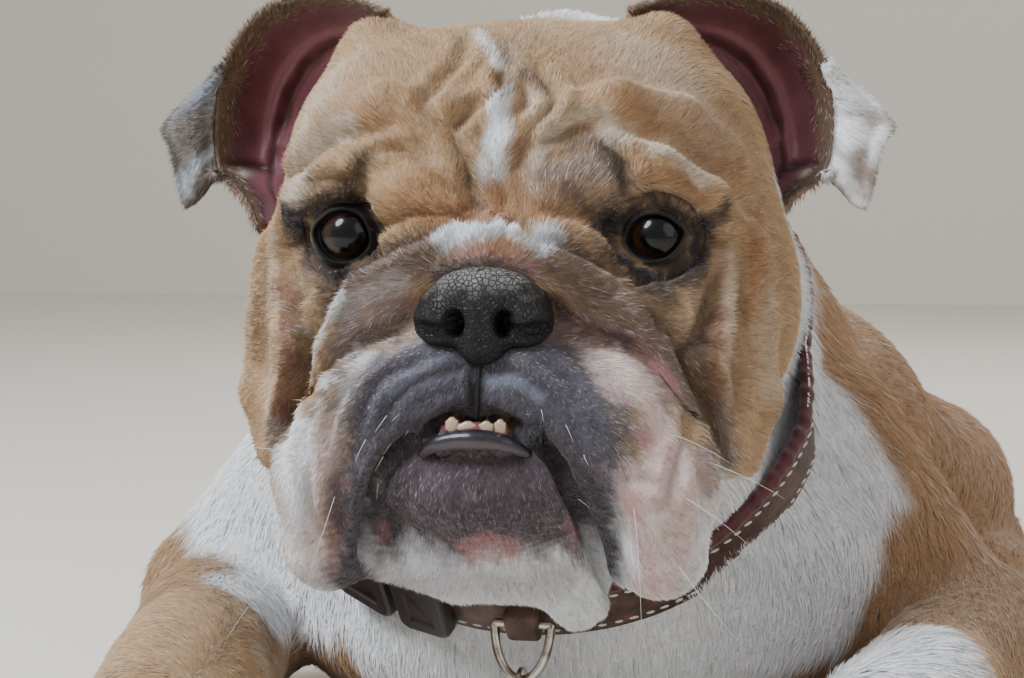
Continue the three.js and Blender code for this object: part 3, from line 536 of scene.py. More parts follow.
# The coat's colours, with the length of the hair there in millimetres and how grizzled it is. A look
# is a row of red, green, blue, hair length and grizzle.
LENGTH = 3
GRIZZLE = 4
COAT = {
    "tan": (linear(184, 149, 112), 7, 0.25),
    "fawn": (linear(194, 162, 128), 5, 0.25),
    "cream": (linear(218, 203, 184), 5, 0.15),
    "gold": (linear(188, 148, 108), 5, 0.25),
    "ginger": (linear(164, 118, 80), 5, 0.25),
    "rust": (linear(130, 88, 66), 4, 0.25),
    "brown": (linear(96, 72, 58), 4, 0.25),
    "umber": (linear(52, 42, 38), 3, 0.2),
    "mask": (linear(46, 40, 41), 2, 0.12),
    "smoke": (linear(118, 98, 88), 3.6, 0.6),
    "grizzle": (linear(134, 120, 111), 4, 0.8),
    "white": (linear(238, 238, 240), 6, 0.1),
    "blush": (linear(220, 194, 190), 2.8, 0.35),
    "rose": (linear(192, 132, 134), 2.4, 0.3),
    "plum": (linear(104, 78, 80), 2.4, 0.4),
    "mauve": (linear(146, 124, 126), 3, 0.4),
    "slate": (linear(76, 73, 84), 1.5, 0.6),
    # A painted highlight: cool light on the ridges of the lip pads.
    "pad_highlight": (linear(140, 146, 162), 1.7, 0.2),
    "lip": (linear(58, 50, 58), 1.2, 0.12),
    "chin": (linear(80, 66, 73), 2.4, 0.4),
    # A painted highlight: cool light on the top of the nose roll.
    "roll_highlight": (linear(232, 238, 248), 5, 0.1),
    # Painted shade: the near black of the deep groove of the upper lip.
    "groove_shadow": (linear(18, 15, 17), 0.8, 0),
}
MARKS = [
    ("cream", 12, 0.45, [(-66, 66), (-71, 53), (-73, 37)]),
    # Painted highlight: light falling on the right of the forehead.
    ("cream", 13, 0.35, [(45, 66), (61, 50), (70, 33)]),
    ("ginger", 10, 0.45, [(48, 44), (65, 38), (73, 24)]),
    ("ginger", 9, 0.3, [(-34, 48), (-41, 40)]),
    ("white", 2.2, 0.75, [(-18, 77), (-10, 68), (-4, 61), (-2, 59)]),
    ("white", 4.0, 0.95, [(0, 49), (0, 39), (0, 29), (-1, 21)]),
    ("ginger", 5.5, 0.85, [(-1, 14), (1, 8)]),
    # Painted shade in the furrows between and above the brows, in the next three marks.
    ("brown", 3.2, 0.8, [(-10, 24), (-8, 16), (-5, 9)]),
    ("ginger", 2.6, 0.8, [(7, 29), (8, 21), (8, 11)]),
    ("umber", 2.6, 0.8, [(-1, 56), (1, 50)]),
    ("grizzle", 4.0, 0.5, [(-2, 68), (3, 58), (13, 52)]),
    # Painted highlight: light falling on the brow over the eye on the left.
    ("cream", 4.5, 0.8, [(-53, 37), (-64, 30), (-69, 22), (-72, 12)]),
    # Painted shade in the folds over and beside the eye on the left, in the next two marks.
    ("brown", 3.6, 0.7, [(-66, 17), (-57, 18), (-49, 19)]),
    ("umber", 3.6, 0.85, [(-45, 26), (-47, 17), (-47, 10), (-41, 1)]),
    ("gold", 8.5, 0.7, [(-35, 20), (-25, 19), (-17, 12)]),
    ("ginger", 4.5, 0.8, [(-33, 4), (-21, 6), (-11, 9)]),
    ("ginger", 6.0, 0.5, [(-31, 14), (-23, 13), (-17, 14)]),
    ("tan", 4.0, 0.5, [(-41, 33), (-27, 31), (-17, 24)]),
    ("cream", 3.4, 0.5, [(10, 22), (17, 33), (27, 39), (36, 41)]),
    ("cream", 3.2, 0.4, [(12, 48), (11, 42)]),
    ("smoke", 9.5, 0.6, [(18, 16), (26, 22), (33, 23)]),
    ("ginger", 5.5, 0.7, [(13, 9), (22, 5), (31, 4)]),
    ("grizzle", 6.5, 0.5, [(23, 24), (33, 28), (38, 21)]),
    # Painted shade in the fold beside the eye on the right.
    ("umber", 4.0, 0.8, [(38, 30), (43, 22), (44, 14), (40, 8)]),
    ("brown", 3.0, 0.6, [(25, 17), (28, 14)]),
    ("ginger", 4.5, 0.6, [(48, 25), (57, 20), (67, 15)]),
    ("cream", 3.6, 0.9, [(37, 36), (48, 33), (61, 28), (69, 21)]),
    ("fawn", 3.6, 0.5, [(49, 14), (57, 13), (65, 8)]),
    ("mask", 5.0, 0.95, [(-73, 4), (-71, -2), (-63, -9), (-51, -12), (-42, -8), (-42, -1)]),
    # Dark skin over the eye on the left, with painted shadow under the brow.
    ("mask", 4.4, 0.95, [(-73, 4), (-67, 7), (-58, 11), (-52, 10), (-45, 3)]),
    ("mask", 6.0, 0.7, [(-63, -12), (-52, -15)]),
    ("brown", 6.0, 0.5, [(-68, -9), (-65, -17), (-57, -21)]),
    ("mask", 5.2, 0.95, [(39, 3), (42, -3), (50, -10), (59, -12), (67, -7), (68, 0)]),
    # Dark skin over the eye on the right, with painted shadow under the brow.
    ("mask", 4.0, 0.95, [(41, 4), (48, 10), (56, 12), (63, 8), (70, 4)]),
    ("mask", 3.4, 0.95, [(69, 3), (74, 5), (78, 10)]),
    ("mask", 3.0, 0.95, [(-70, 3), (-76, 4), (-77, 7)]),
    ("mask", 4.2, 0.8, [(33, 9), (37, 3), (44, -5), (54, -14)]),
    ("mask", 5.5, 0.7, [(58, -16), (66, -12), (70, -5)]),
    ("brown", 5.5, 0.5, [(61, -21), (69, -16)]),
    ("fawn", 4.0, 0.7, [(-92, -8), (-93, -28), (-92, -48)]),
    ("ginger", 2.6, 0.8, [(-87, 1), (-87, -23), (-84, -47)]),
    # Painted highlight on the ridge of the cheek on the left.
    ("cream", 2.4, 0.5, [(-83, -1), (-83, -30), (-81, -61)]),
    ("brown", 6.0, 0.5, [(-74, -22), (-70, -42), (-75, -64)]),
    # Painted shade darkening into the fold of the cheek on the left, in the next two marks.
    ("rust", 4.2, 0.8, [(-77, -19), (-72, -39), (-75, -60)]),
    ("umber", 2.6, 0.5, [(-70, -26), (-66, -37), (-69, -51)]),
    ("fawn", 4.5, 0.6, [(-66, -18), (-61, -26), (-62, -33)]),
    ("grizzle", 4.6, 0.8, [(-79, -68), (-72, -73), (-69, -81)]),
    ("ginger", 4.6, 0.75, [(87, 7), (87, -9), (87, -25)]),
    # Painted highlight on the ridge of the cheek on the right.
    ("cream", 2.8, 0.45, [(79, -7), (78, -23), (78, -40), (77, -58)]),
    ("brown", 6.0, 0.5, [(71, -25), (71, -44), (74, -61)]),
    # Painted shade darkening into the fold of the cheek on the right, in the next two marks.
    ("rust", 3.4, 0.75, [(74, -25), (72, -36), (74, -55)]),
    ("umber", 3.0, 0.5, [(70, -33), (69, -41), (70, -47)]),
    ("fawn", 5.0, 0.6, [(66, -24), (63, -31)]),
    ("cream", 6.0, 0.3, [(93, -22), (93, -49)]),
    ("grizzle", 4.4, 0.8, [(75, -63), (77, -72), (78, -80)]),
    ("smoke", 8.5, 0.9, [(-15, -2), (-27, -7), (-38, -13), (-47, -21)]),
    ("mauve", 5.5, 0.7, [(-30, -21), (-40, -28), (-48, -36)]),
    ("white", 3.0, 0.6, [(-51, -20), (-57, -30), (-63, -42), (-68, -56), (-62, -68), (-63, -81)]),
    ("white", 3.6, 0.2, [(-28, -14), (-40, -19), (-48, -26)]),
    ("smoke", 9.5, 0.85, [(25, -6), (38, -16), (49, -29), (58, -46)]),
    ("brown", 6.0, 0.5, [(24, -13), (35, -22), (45, -33)]),
    ("plum", 4.6, 0.65, [(22, -22), (33, -30), (43, -36)]),
    ("grizzle", 4.4, 0.75, [(61, -44), (68, -58), (74, -70), (76, -80)]),
    # Painted highlight of cool light along the top of the nose roll.
    ("roll_highlight", 5.0, 1.0, [(-12, 1), (-3, 4), (5, 5), (12, 3), (19, 0)]),
    ("rose", 3.0, 0.4, [(-9, -5), (0, -4), (9, -6), (14, -10)]),
    ("slate", 2.4, 0.7, [(-15, -12), (-10, -10), (-2, -8), (7, -9), (13, -12)]),
    ("plum", 3.4, 0.6, [(-25, -21), (-29, -27)]),
    ("umber", 3.6, 0.7, [(22, -20), (25, -26)]),
    ("mauve", 17, 0.95, [(-32, -53), (-16, -43), (-2, -42), (13, -43), (30, -52)]),
    ("grizzle", 8, 0.8, [(-33, -30), (-45, -35), (-51, -44), (-57, -55)]),
    ("plum", 6, 0.8, [(23, -30), (34, -33), (43, -36)]),
    ("slate", 12, 1.0, [(-5, -44), (-16, -49), (-26, -56), (-32, -65), (-39, -78)]),
    ("slate", 8, 0.9, [(-12, -36), (-23, -39), (-33, -45), (-40, -55)]),
    ("grizzle", 5.0, 0.75, [(-44, -45), (-48, -56), (-51, -69)]),
    # Painted highlights of cool light on the ridges of the lip pad on the left, in the next two marks.
    ("pad_highlight", 2.0, 0.45, [(-6, -38), (-15, -41), (-23, -44), (-29, -50)]),
    ("pad_highlight", 2.2, 0.5, [(-20, -32), (-30, -36), (-37, -41)]),
    ("white", 2.2, 0.7, [(-39, -38), (-44, -45), (-49, -56), (-52, -65)]),
    ("white", 2.4, 0.9, [(-47, -37), (-54, -44), (-56, -51)]),
    ("rose", 1.8, 0.6, [(-49, -39), (-54, -47), (-57, -52)]),
    ("white", 8, 0.95, [(-67, -68), (-67, -84), (-67, -102), (-62, -114)]),
    ("blush", 8.5, 0.7, [(-56, -67), (-59, -80), (-61, -96), (-58, -109), (-50, -116)]),
    ("white", 4.4, 0.8, [(-61, -64), (-62, -77), (-64, -95)]),
    ("smoke", 5.0, 0.4, [(-47, -66), (-50, -84), (-51, -98)]),
    ("rose", 3.0, 0.6, [(-46, -82), (-48, -94), (-51, -109), (-49, -118)]),
    ("slate", 7, 1.0, [(-4, -53), (-14, -57), (-23, -63), (-30, -72)]),
    ("slate", 7, 1.0, [(0, -53), (8, -55), (18, -61), (27, -69)]),
    ("slate", 12, 1.0, [(2, -44), (16, -48), (26, -56), (34, -67), (39, -79)]),
    ("slate", 8, 0.9, [(12, -35), (25, -38), (36, -47), (44, -60)]),
    ("grizzle", 5.0, 0.75, [(39, -42), (47, -53), (51, -65), (50, -73)]),
    # Painted highlight of cool light on a ridge of the lip pad on the right.
    ("pad_highlight", 2.4, 0.45, [(2, -46), (11, -46), (19, -51)]),
    ("blush", 8.0, 0.95, [(44, -41), (54, -49), (59, -59), (59, -72), (54, -85)]),
    ("cream", 3.0, 0.6, [(40, -37), (47, -43), (53, -52)]),
    ("rose", 2.4, 0.8, [(49, -36), (56, -42), (61, -51)]),
    ("rose", 3.0, 0.8, [(54, -64), (55, -65)]),
    ("rose", 2.4, 0.8, [(61, -69), (61, -69)]),
    ("plum", 2.4, 0.6, [(59, -52), (61, -56)]),
    ("blush", 9.0, 0.9, [(68, -75), (69, -92), (63, -108), (54, -117)]),
    ("white", 4.0, 0.5, [(74, -86), (72, -101), (68, -113)]),
    ("plum", 2.0, 0.55, [(71, -67), (73, -76), (74, -84)]),
    ("rose", 3.4, 0.6, [(48, -85), (50, -99), (53, -113)]),
    ("lip", 3.6, 1.0, [(-15, -57), (-9, -55), (-3, -55), (3, -55), (10, -58)]),
    ("blush", 15, 1.0, [(-24, -86), (-1, -91), (22, -87)]),
    ("chin", 12, 1.0, [(-20, -78), (-1, -75), (15, -76), (23, -85)]),
    ("chin", 8, 1.0, [(-16, -69), (-1, -67), (13, -69)]),
    ("chin", 11, 1.0, [(-28, -94), (-15, -99), (6, -98), (21, -97), (28, -92)]),
    ("chin", 10, 1.0, [(-26, -86), (-13, -88), (-1, -89), (14, -87), (27, -85)]),
    ("plum", 3.6, 0.5, [(-13, -70), (-1, -68), (9, -70)]),
    ("rose", 4.8, 0.6, [(-4, -104), (2, -101), (7, -103)]),
    ("rose", 2.6, 0.6, [(-4, -108), (7, -108)]),
    # Painted shade under the chin, across the top of the throat.
    ("mauve", 6.0, 0.4, [(-51, -127), (-19, -117), (16, -117), (27, -111)]),
    ("chin", 8, 1.0, [(-26, -74), (-32, -85), (-35, -99)]),
    ("chin", 8, 1.0, [(22, -73), (29, -84), (31, -95)]),
    ("rose", 2.4, 0.4, [(-37, -98), (-37, -101)]),
    ("rose", 3.0, 0.4, [(28, -91), (30, -99)]),
    # The dark lips along the flews' inner edges, in the next three marks, widened as painted shadow over the
    # gap between each flew and the chin.
    ("lip", 7.5, 1.0, [(-20, -61), (-28, -66), (-36, -77), (-43, -88), (-45, -104), (-48, -120)]),
    ("lip", 7.5, 1.0, [(13, -60), (23, -67), (31, -79), (38, -91)]),
    ("lip", 6.2, 1.0, [(36, -91), (39, -101), (41, -109)]),
    ("lip", 5.0, 1.0, [(-14, -68), (-1, -67), (12, -67)]),
    # Painted shade: a near-black line in the deep groove of the upper lip.
    ("groove_shadow", 2.2, 1.0, [(-3, -36), (-2, -47), (-3, -57)]),
]
mark_lines = [(name, radius, share, on_face(curved(line, 3.0) if len(line) > 1 else line))
              for name, radius, share, line in MARKS]
MARKED_FACE = (46.0, -150, FAR, 110)
FRONT_OF_FACE = 24
FRONT_HAIR = 4.0
BODY_HAIR = 8
NAPE = 62
EDGE_WIDTH = 7
WHITE_MANTLE = [
    ([[0, -100, 255], [0, -150, 250], [20, -215, 230]], 46),
    ([[0, -180, 165], [6, -235, 120], [4, -250, 60]], 96),
    ([[60, -200, 190], [92, -205, 140], [84, -215, 84]], 52),
    ([[-60, -200, 190], [-92, -205, 140], [-86, -208, 92]], 54),
    ([[100, -178, 150], [118, -185, 112], [100, -215, 60]], 30),
    ([[-100, -178, 150], [-138, -172, 108], [-138, -176, 92]], 30),
    ([[-118, -176, 74], [-104, -182, 50]], 17),
    ([[60, -260, 40], [-14, -262, 30]], 56),
]
WHITE_LEGS = [
    ([[142, -262, 40], [140, -310, 10]], 34),
    ([[-104, -372, 10], [-98, -392, 6]], 24),
    ([[149, 70, 4], [149, 55, 4]], 22),
    ([[-149, 70, 4], [-149, 55, 4]], 22),
    ([[0, -120, 6], [0, 120, 4]], 60),
]


# Each marking is laid over those before it, with an uneven edge: colour, hair and grizzle at once.
def marked(points):
    head = to_head(points)
    look = np.tile(np.append(COAT["tan"][0][:3], COAT["tan"][1:]), (len(points), 1))
    look[:, LENGTH] = np.clip(5 + (head[:, 1] - 40) * 0.03, 5, 8.5)

    def lay(which, name, share, hair=None):
        value = np.append(COAT[name][0][:3], COAT[name][1:])
        value[LENGTH] = hair or value[LENGTH]
        look[which] += (value - look[which]) * share[:, None]

    belly = np.clip((60 - points[:, 2]) / 50, 0, 1) * 0.5
    lay(np.arange(len(points)), "fawn", belly, BODY_HAIR)
    saddle = np.clip(1 - np.abs(points[:, 2] - 120) / 60, 0, 1) * np.clip((points[:, 1] + 130) / 60, 0, 1)
    lay(np.arange(len(points)), "ginger", saddle * 0.25, BODY_HAIR)
    behind = np.clip((head[:, 1] - NAPE) / 10, 0, 1)
    look[:, :3] *= 1 - behind[:, None] * [0.2, 0.27, 0.33]
    for line, radius in WHITE_MANTLE + WHITE_LEGS:
        line = np.array(line, float)
        near = close_to(points, line, radius + 16)
        d, _ = nearest(points[near], line)
        d = d + waves(points[near], 46, 3) * 5 + waves(points[near], 13, 4) * 1.5
        share = np.clip((radius - d) / EDGE_WIDTH + 0.5, 0, 1)
        if (line[0][2] > 60) and radius > 30:
            share = share * np.maximum(behind[near], np.clip((-70 - head[near][:, 2]) / 10, 0, 1))
        lay(near, "white", share, BODY_HAIR)
    uneven = waves(points, 9, 5) * 0.22 + waves(points, 3.2, 6) * 0.12
    facing = np.nonzero(in_front(head, *MARKED_FACE))[0]
    for name, radius, share, line in mark_lines:
        near = facing[close_to(head[facing], line, radius * 1.9)]
        if not len(near):
            continue
        d, _ = nearest(head[near], line)
        edge = d / radius + uneven[near]
        lay(near, name, share * np.clip(1.5 - edge, 0, 1) ** 0.8)
    front = facing[head[facing, 1] < FRONT_OF_FACE]
    look[front, LENGTH] = np.minimum(look[front, LENGTH], FRONT_HAIR)
    return look


# The skin: the forms are joined and remeshed, and every point is settled on the blend, inside it by
# the depth of the coat. The head is divided finer, and the face finer again, before it is folded.
COAT_DEPTH = (1.6, 3.2)
VOXEL = 0.004
FINE_HEAD = (84, -126, FAR, 118)
FINER_FACE = (22, -118, 74, 92)
HAIRED_HEAD = (92, -128, FAR, 112)
bm = bmesh.new()
for kind, at, size, _, turn in BODY:
    if kind == "oval":
        place = Matrix.Translation(at * MM) @ Matrix(turn.tolist()).to_4x4()
        place = place @ Matrix.Diagonal((*(size * MM), 1))
        bmesh.ops.create_icosphere(bm, subdivisions=4, radius=1.0, matrix=place)
        continue
    for a, b, wide_a, wide_b in zip(at[:-1], at[1:], size[:-1], size[1:]):
        count = max(2, int(np.linalg.norm(b - a) / (0.35 * min(wide_a, wide_b))) + 1)
        for t in np.linspace(0, 1, count):
            wide = (wide_a + (wide_b - wide_a) * t) * MM
            place = Matrix.Translation((a + (b - a) * t) * MM)
            bmesh.ops.create_icosphere(bm, subdivisions=2, radius=wide, matrix=place)
rough_mesh = bpy.data.meshes.new("rough skin")
bm.to_mesh(rough_mesh)
bm.free()
rough = bpy.data.objects.new("rough skin", rough_mesh)
scene.collection.objects.link(rough)
remesh = rough.modifiers.new("voxels", "REMESH")
remesh.mode = "VOXEL"
remesh.voxel_size = VOXEL
skin_mesh = bpy.data.meshes.new_from_object(rough.evaluated_get(bpy.context.evaluated_depsgraph_get()))
bpy.data.objects.remove(rough)


def read(items, key, width, kind=float):
    flat = np.zeros(len(items) * width, kind)
    items.foreach_get(key, flat)
    return flat.reshape(-1, width)


# The points of a mesh in millimetres.
def places(mesh):
    return read(mesh.vertices, "co", 3) * METRE


def place_all(mesh, points):
    mesh.vertices.foreach_set("co", np.ascontiguousarray(points, float).ravel())
    mesh.update()


def coat_depth(points):
    head = to_head(points)
    t = np.clip((head[:, 1] - 10) / 80, 0, 1)
    return COAT_DEPTH[0] + (COAT_DEPTH[1] - COAT_DEPTH[0]) * t * np.clip((points[:, 2] - 2) / 20, 0, 1)


def settled_skin(points, steps):
    return settled(points, -coat_depth(points), steps)


def divided(mesh, chosen):
    bm = bmesh.new()
    bm.from_mesh(mesh)
    bm.faces.ensure_lookup_table()
    edges = {edge for face in bm.faces if chosen[face.index] for edge in face.edges}
    bmesh.ops.subdivide_edges(bm, edges=list(edges), cuts=1, use_grid_fill=True)
    bmesh.ops.triangulate(bm, faces=[face for face in bm.faces if len(face.verts) > 4])
    bm.to_mesh(mesh)
    bm.free()


def face_middles(mesh):
    return read(mesh.polygons, "center", 3) * METRE


points = settled_skin(places(skin_mesh), 3)
place_all(skin_mesh, points * MM)
middles = to_head(face_middles(skin_mesh))
divided(skin_mesh, in_front(middles, *FINE_HEAD))
points = settled_skin(places(skin_mesh), 2)
place_all(skin_mesh, points * MM)
middles = to_head(face_middles(skin_mesh))
divided(skin_mesh, in_front(middles, *FINER_FACE))
points = settled_skin(places(skin_mesh), 1)
_, out = outside(points)
head = to_head(points)
push, shade = folded(head)

# Behind the eyelids the skin stands back, and the lids' own piece covers it.
EYE_SPACING = 107.0
EYE_DEPTH = 10.5
EYE_RADIUS = 12.5
EYES = {
    "left": np.array([EYE_SPACING / 2, EYE_DEPTH, 0]),
    "right": np.array([-EYE_SPACING / 2, EYE_DEPTH, 0]),
}
LID_SKIN = 15.5
LID_STEP_BACK = 9
for eye in EYES.values():
    across = np.linalg.norm((head - eye)[:, [0, 2]] / [1.12, 1.0], axis=1)
    front = head[:, 1] < EYE_DEPTH + 8
    push = np.where(front, push - LID_STEP_BACK * np.clip((LID_SKIN - across) / 3.5, 0, 1), push)
points = points + out * push[:, None]
points[:, 2] = np.maximum(points[:, 2], 0.0)
look = marked(points)
# Painted shade: the colour darkens in the folds and in the mouth by how deep in shade they lie.
look[:, :3] *= (1 - 0.72 * shade)[:, None]
look[:, LENGTH] *= 1 - 0.6 * shade
place_all(skin_mesh, metres(points))

# The skin is parted under the collar into the head's piece and the body's, each below 200,000
# triangles. Its finish is skin with short flat hair: painted colour, fine bumps and a soft sheen.
COLLAR_AT = np.array([0.0, -158.0, 144.0])
COLLAR_SLANT = math.radians(41)
STRAP_UP = np.array([0, math.cos(COLLAR_SLANT), math.sin(COLLAR_SLANT)])
STRAP_AXIS = np.array([0, -math.sin(COLLAR_SLANT), math.cos(COLLAR_SLANT)])


def triangles_of(mesh):
    mesh.calc_loop_triangles()
    return read(mesh.loop_triangles, "vertices", 3, np.int64)


def normals_of(mesh):
    return read(mesh.vertex_normals, "vector", 3)


def point_values(mesh, name, values):
    mesh.attributes.new(name, "FLOAT", "POINT").data.foreach_set("value", values.astype(np.float32))


# A mesh of some of the faces, with its points' colours.
def made_mesh(name, points, faces, colours=None):
    used, index = np.unique(faces, return_inverse=True)
    faces = index.reshape(faces.shape)
    sides = faces.shape[1]
    mesh = bpy.data.meshes.new(name)
    mesh.vertices.add(len(used))
    mesh.vertices.foreach_set("co", np.ascontiguousarray(points[used]).ravel())
    mesh.loops.add(faces.size)
    mesh.loops.foreach_set("vertex_index", faces.ravel().astype(np.int32))
    mesh.polygons.add(len(faces))
    mesh.polygons.foreach_set("loop_start", np.arange(0, faces.size, sides, dtype=np.int32))
    mesh.update(calc_edges=True)
    if colours is not None:
        paint(mesh, colours[used])
    return mesh


def paint(mesh, colours):
    layer = mesh.color_attributes.new("Coat", "FLOAT_COLOR", "POINT")
    values = np.ones((len(colours), 4), np.float32)
    values[:, :3] = colours[:, :3]
    layer.data.foreach_set("color", values.ravel())


skin_faces = triangles_of(skin_mesh)
skin_normals = normals_of(skin_mesh)
middles = points[skin_faces].mean(1)
ahead_of_collar = (middles - COLLAR_AT) @ STRAP_AXIS > 0

# Streaks of hair run out from the nose: they are noise drawn along the way from it.
NOSE_TIP = np.array([0.0, -36.0, -20.0])


def unit(vectors):
    return vectors / (np.linalg.norm(vectors, axis=-1, keepdims=True) + 1e-9)


def along_skin(ways, normals):
    return unit(ways - normals * (ways * normals).sum(1)[:, None])


def add_streaks(mesh):
    head = to_head(places(mesh) - DOG_PLACE)
    mesh.attributes.new("Streak", "FLOAT_VECTOR", "POINT").data.foreach_set(
        "vector", unit(head - NOSE_TIP + [0, 12, 0]).astype(np.float32).ravel())
    point_values(mesh, "Reach", np.linalg.norm(head - NOSE_TIP, axis=1))


def streaks(finish, scale, length):
    way = finish.add("ShaderNodeAttribute", {"attribute_name": "Streak"}).outputs["Vector"]
    step = finish.add("ShaderNodeMath", {"operation": "DIVIDE"})
    finish.link(finish.value("Reach"), step.inputs[0])
    step.inputs[1].default_value = length
    node = finish.add("ShaderNodeTexNoise", {"noise_dimensions": "4D"}, Scale=scale, Detail=3.0, Vector=way)
    finish.link(step.outputs["Value"], node.inputs["W"])
    return node.outputs["Fac"]


skin_finish = Finish("skin and short hair", 0.62, 0.3, Sheen_Weight=0.2, Sheen_Roughness=0.5)
skin_streaks = streaks(skin_finish, 190, 5)
skin_tone = skin_finish.ramp(skin_streaks, [(0.34, (0.72, 0.71, 0.70, 1)), (0.62, (1.06, 1.06, 1.07, 1))])
skin_finish.colour(skin_finish.mix(1.0, skin_finish.painted("Coat"), skin_tone, "MULTIPLY"))
skin_finish.bump(skin_streaks, 0.0005, 0.6)
skin_finish.bump(skin_finish.noise(1300, 4), 0.0003, 0.4)
skin_finish.bump(skin_finish.noise(330, 5), 0.0035, 0.9)
HEAD_NODES = ["head", "muzzle", "chin", "neck"]
BODY_NODES = ["torso", "tail"]
for side in ("left", "right"):
    BODY_NODES += [f"{piece}_{side}" for piece in (
        "upper_arm", "forearm", "front_paw", "thigh", "hind_foot", "hind_paw")]
skin_places = metres(points)
for name, faces, slot, nodes in (
        ("skin_head", skin_faces[ahead_of_collar], "white_coat", HEAD_NODES),
        ("skin_body", skin_faces[~ahead_of_collar], "tan_coat", BODY_NODES)):
    mesh = made_mesh(name, skin_places, faces, look)
    add_streaks(mesh)
    shown(name, mesh, skin_finish, slot, *nodes)

# The coat: short flat hair as thin solid spikes over the skin, smallest on the face and feet. On the
# head the hair runs out from the nose; on the body it follows guides from the withers to the toes.
COAT_LIE = [
    ([0, -285, 60], [0, 0.1, -1]),
    ([110, -215, 110], [0.3, 0.3, -1]),
    ([-110, -220, 110], [-0.3, 0.3, -1]),
    ([125, -140, 110], [0.1, 0.4, -1]),
    ([-128, -150, 110], [-0.1, 0.4, -1]),
    ([165, -150, 45], [0, -0.8, -0.5]),
    ([-168, -165, 45], [0.1, -0.8, -0.5]),
    ([150, -230, 45], [-0.1, -1, -0.1]),
    ([-130, -280, 45], [0.1, -1, -0.1]),
    ([139, -300, 35], [0, -1, -0.2]),
    ([-112, -370, 35], [0.2, -1, -0.2]),
    ([0, -90, 235], [0, 1, 0]),
    ([0, 60, 195], [0, 1, 0]),
    ([112, 20, 110], [0, 1, -0.5]),
    ([-112, 20, 110], [0, 1, -0.5]),
    ([0, 20, 10], [0, 1, 0]),
    ([0, 230, 150], [0, 1, -0.3]),
    ([125, 170, 95], [0.2, 0.5, -0.9]),
    ([-125, 170, 95], [-0.2, 0.5, -0.9]),
    ([148, 190, 40], [0, -0.6, -0.3]),
    ([-148, 190, 40], [0, -0.6, -0.3]),
    ([149, 90, 40], [0, -1, -0.2]),
    ([-149, 90, 40], [0, -1, -0.2]),
    ([0, 295, 115], [-0.1, 0.2, -1]),
]
GUIDE_REACH = 60


def coat_lie(points, normals):
    head = to_head(points)
    radial = unit(head - NOSE_TIP + [0, 12, 0]) @ HEAD_TURN.T
    guided = np.zeros_like(points)
    for at, way in COAT_LIE:
        near = np.exp(-((points - at) ** 2).sum(1) / GUIDE_REACH ** 2)[:, None]
        guided += near * unit(np.array(way)) + 1e-12 * np.array(way)
    on_head = np.clip((75 - head[:, 1]) / 40, 0, 1)[:, None]
    way = radial * on_head + unit(guided) * (1 - on_head)
    turn = np.radians(waves(points, 24, 8) * 12 + random.normal(0, 7, len(points)))
    way = along_skin(way, normals)
    side = np.cross(normals, way)
    return unit(way * np.cos(turn)[:, None] + side * np.sin(turn)[:, None])


RNG_SEED = 20
random = np.random.default_rng(RNG_SEED)
SPIKE_FACES = np.array([[0, 2, 3], [2, 1, 3], [1, 0, 3], [0, 1, 2]])
BAKE_PATCH = np.array([[-0.0015, -0.0015], [0.0015, -0.0015], [0.0, -0.0009], [0.0, 0.0015]])


# Thin solid hairs, four faces each. They are shaded with the skin under them, so the coat looks soft.
def spikes(name, roots, normals, ways, lengths, widths, lift, root_colours, tip_colours, patches):
    side = np.cross(normals, ways)
    rise = np.radians(lift)[:, None]
    tips = roots + (ways * np.cos(rise) + normals * np.sin(rise)) * lengths[:, None]
    half = side * widths[:, None] / 2
    corners = np.stack([roots + half - normals * 0.3, roots - half - normals * 0.3,
                        roots + normals * widths[:, None] * 0.3, tips], 1)
    corners[:, :, 2] = np.maximum(corners[:, :, 2], 0.2)
    faces = (np.arange(len(roots))[:, None, None] * 4 + SPIKE_FACES).reshape(-1, 3)
    colours = np.stack([root_colours, root_colours, root_colours * 0.6 + tip_colours * 0.4, tip_colours], 1)
    mesh = made_mesh(name, metres(corners.reshape(-1, 3)), faces, colours.reshape(-1, 3))
    uv = (patches[:, None, :] + BAKE_PATCH)[:, SPIKE_FACES, :]
    mesh.uv_layers.new(name="OFBake").data.foreach_set("uv", np.clip(uv, 0, 1).astype(np.float32).ravel())
    mesh.polygons.foreach_set("use_smooth", np.ones(len(mesh.polygons), bool))
    tilts = np.array([0.35, -0.35, 0.0, 0.0])[None, :, None]
    shading = unit(normals[:, None, :] + side[:, None, :] * tilts - ways[:, None, :] * 0.15)
    mesh.normals_split_custom_set_from_vertices(shading.reshape(-1, 3))
    return mesh


# An unwrap of some faces: the place of each face's corners on a square of their own.
def unwrapped(at, faces):
    mesh = made_mesh("unwrap", at, faces)
    patch = bpy.data.objects.new("unwrap", mesh)
    scene.collection.objects.link(patch)
    bpy.context.view_layer.objects.active = patch
    bpy.ops.object.mode_set(mode="EDIT")
    bpy.ops.mesh.select_all(action="SELECT")
    bpy.ops.uv.smart_project(angle_limit=math.radians(66), island_margin=0.004)
    bpy.ops.object.mode_set(mode="OBJECT")
    corners = read(mesh.uv_layers.active.data, "uv", 2, np.float32).reshape(-1, 3, 2)
    bpy.data.objects.remove(patch)
    bpy.data.meshes.remove(mesh)
    return corners


coat_finish = Finish("hair", 0.6, 0.25, Sheen_Weight=0.15, Sheen_Roughness=0.4)
coat_finish.colour(coat_finish.painted("Coat"))


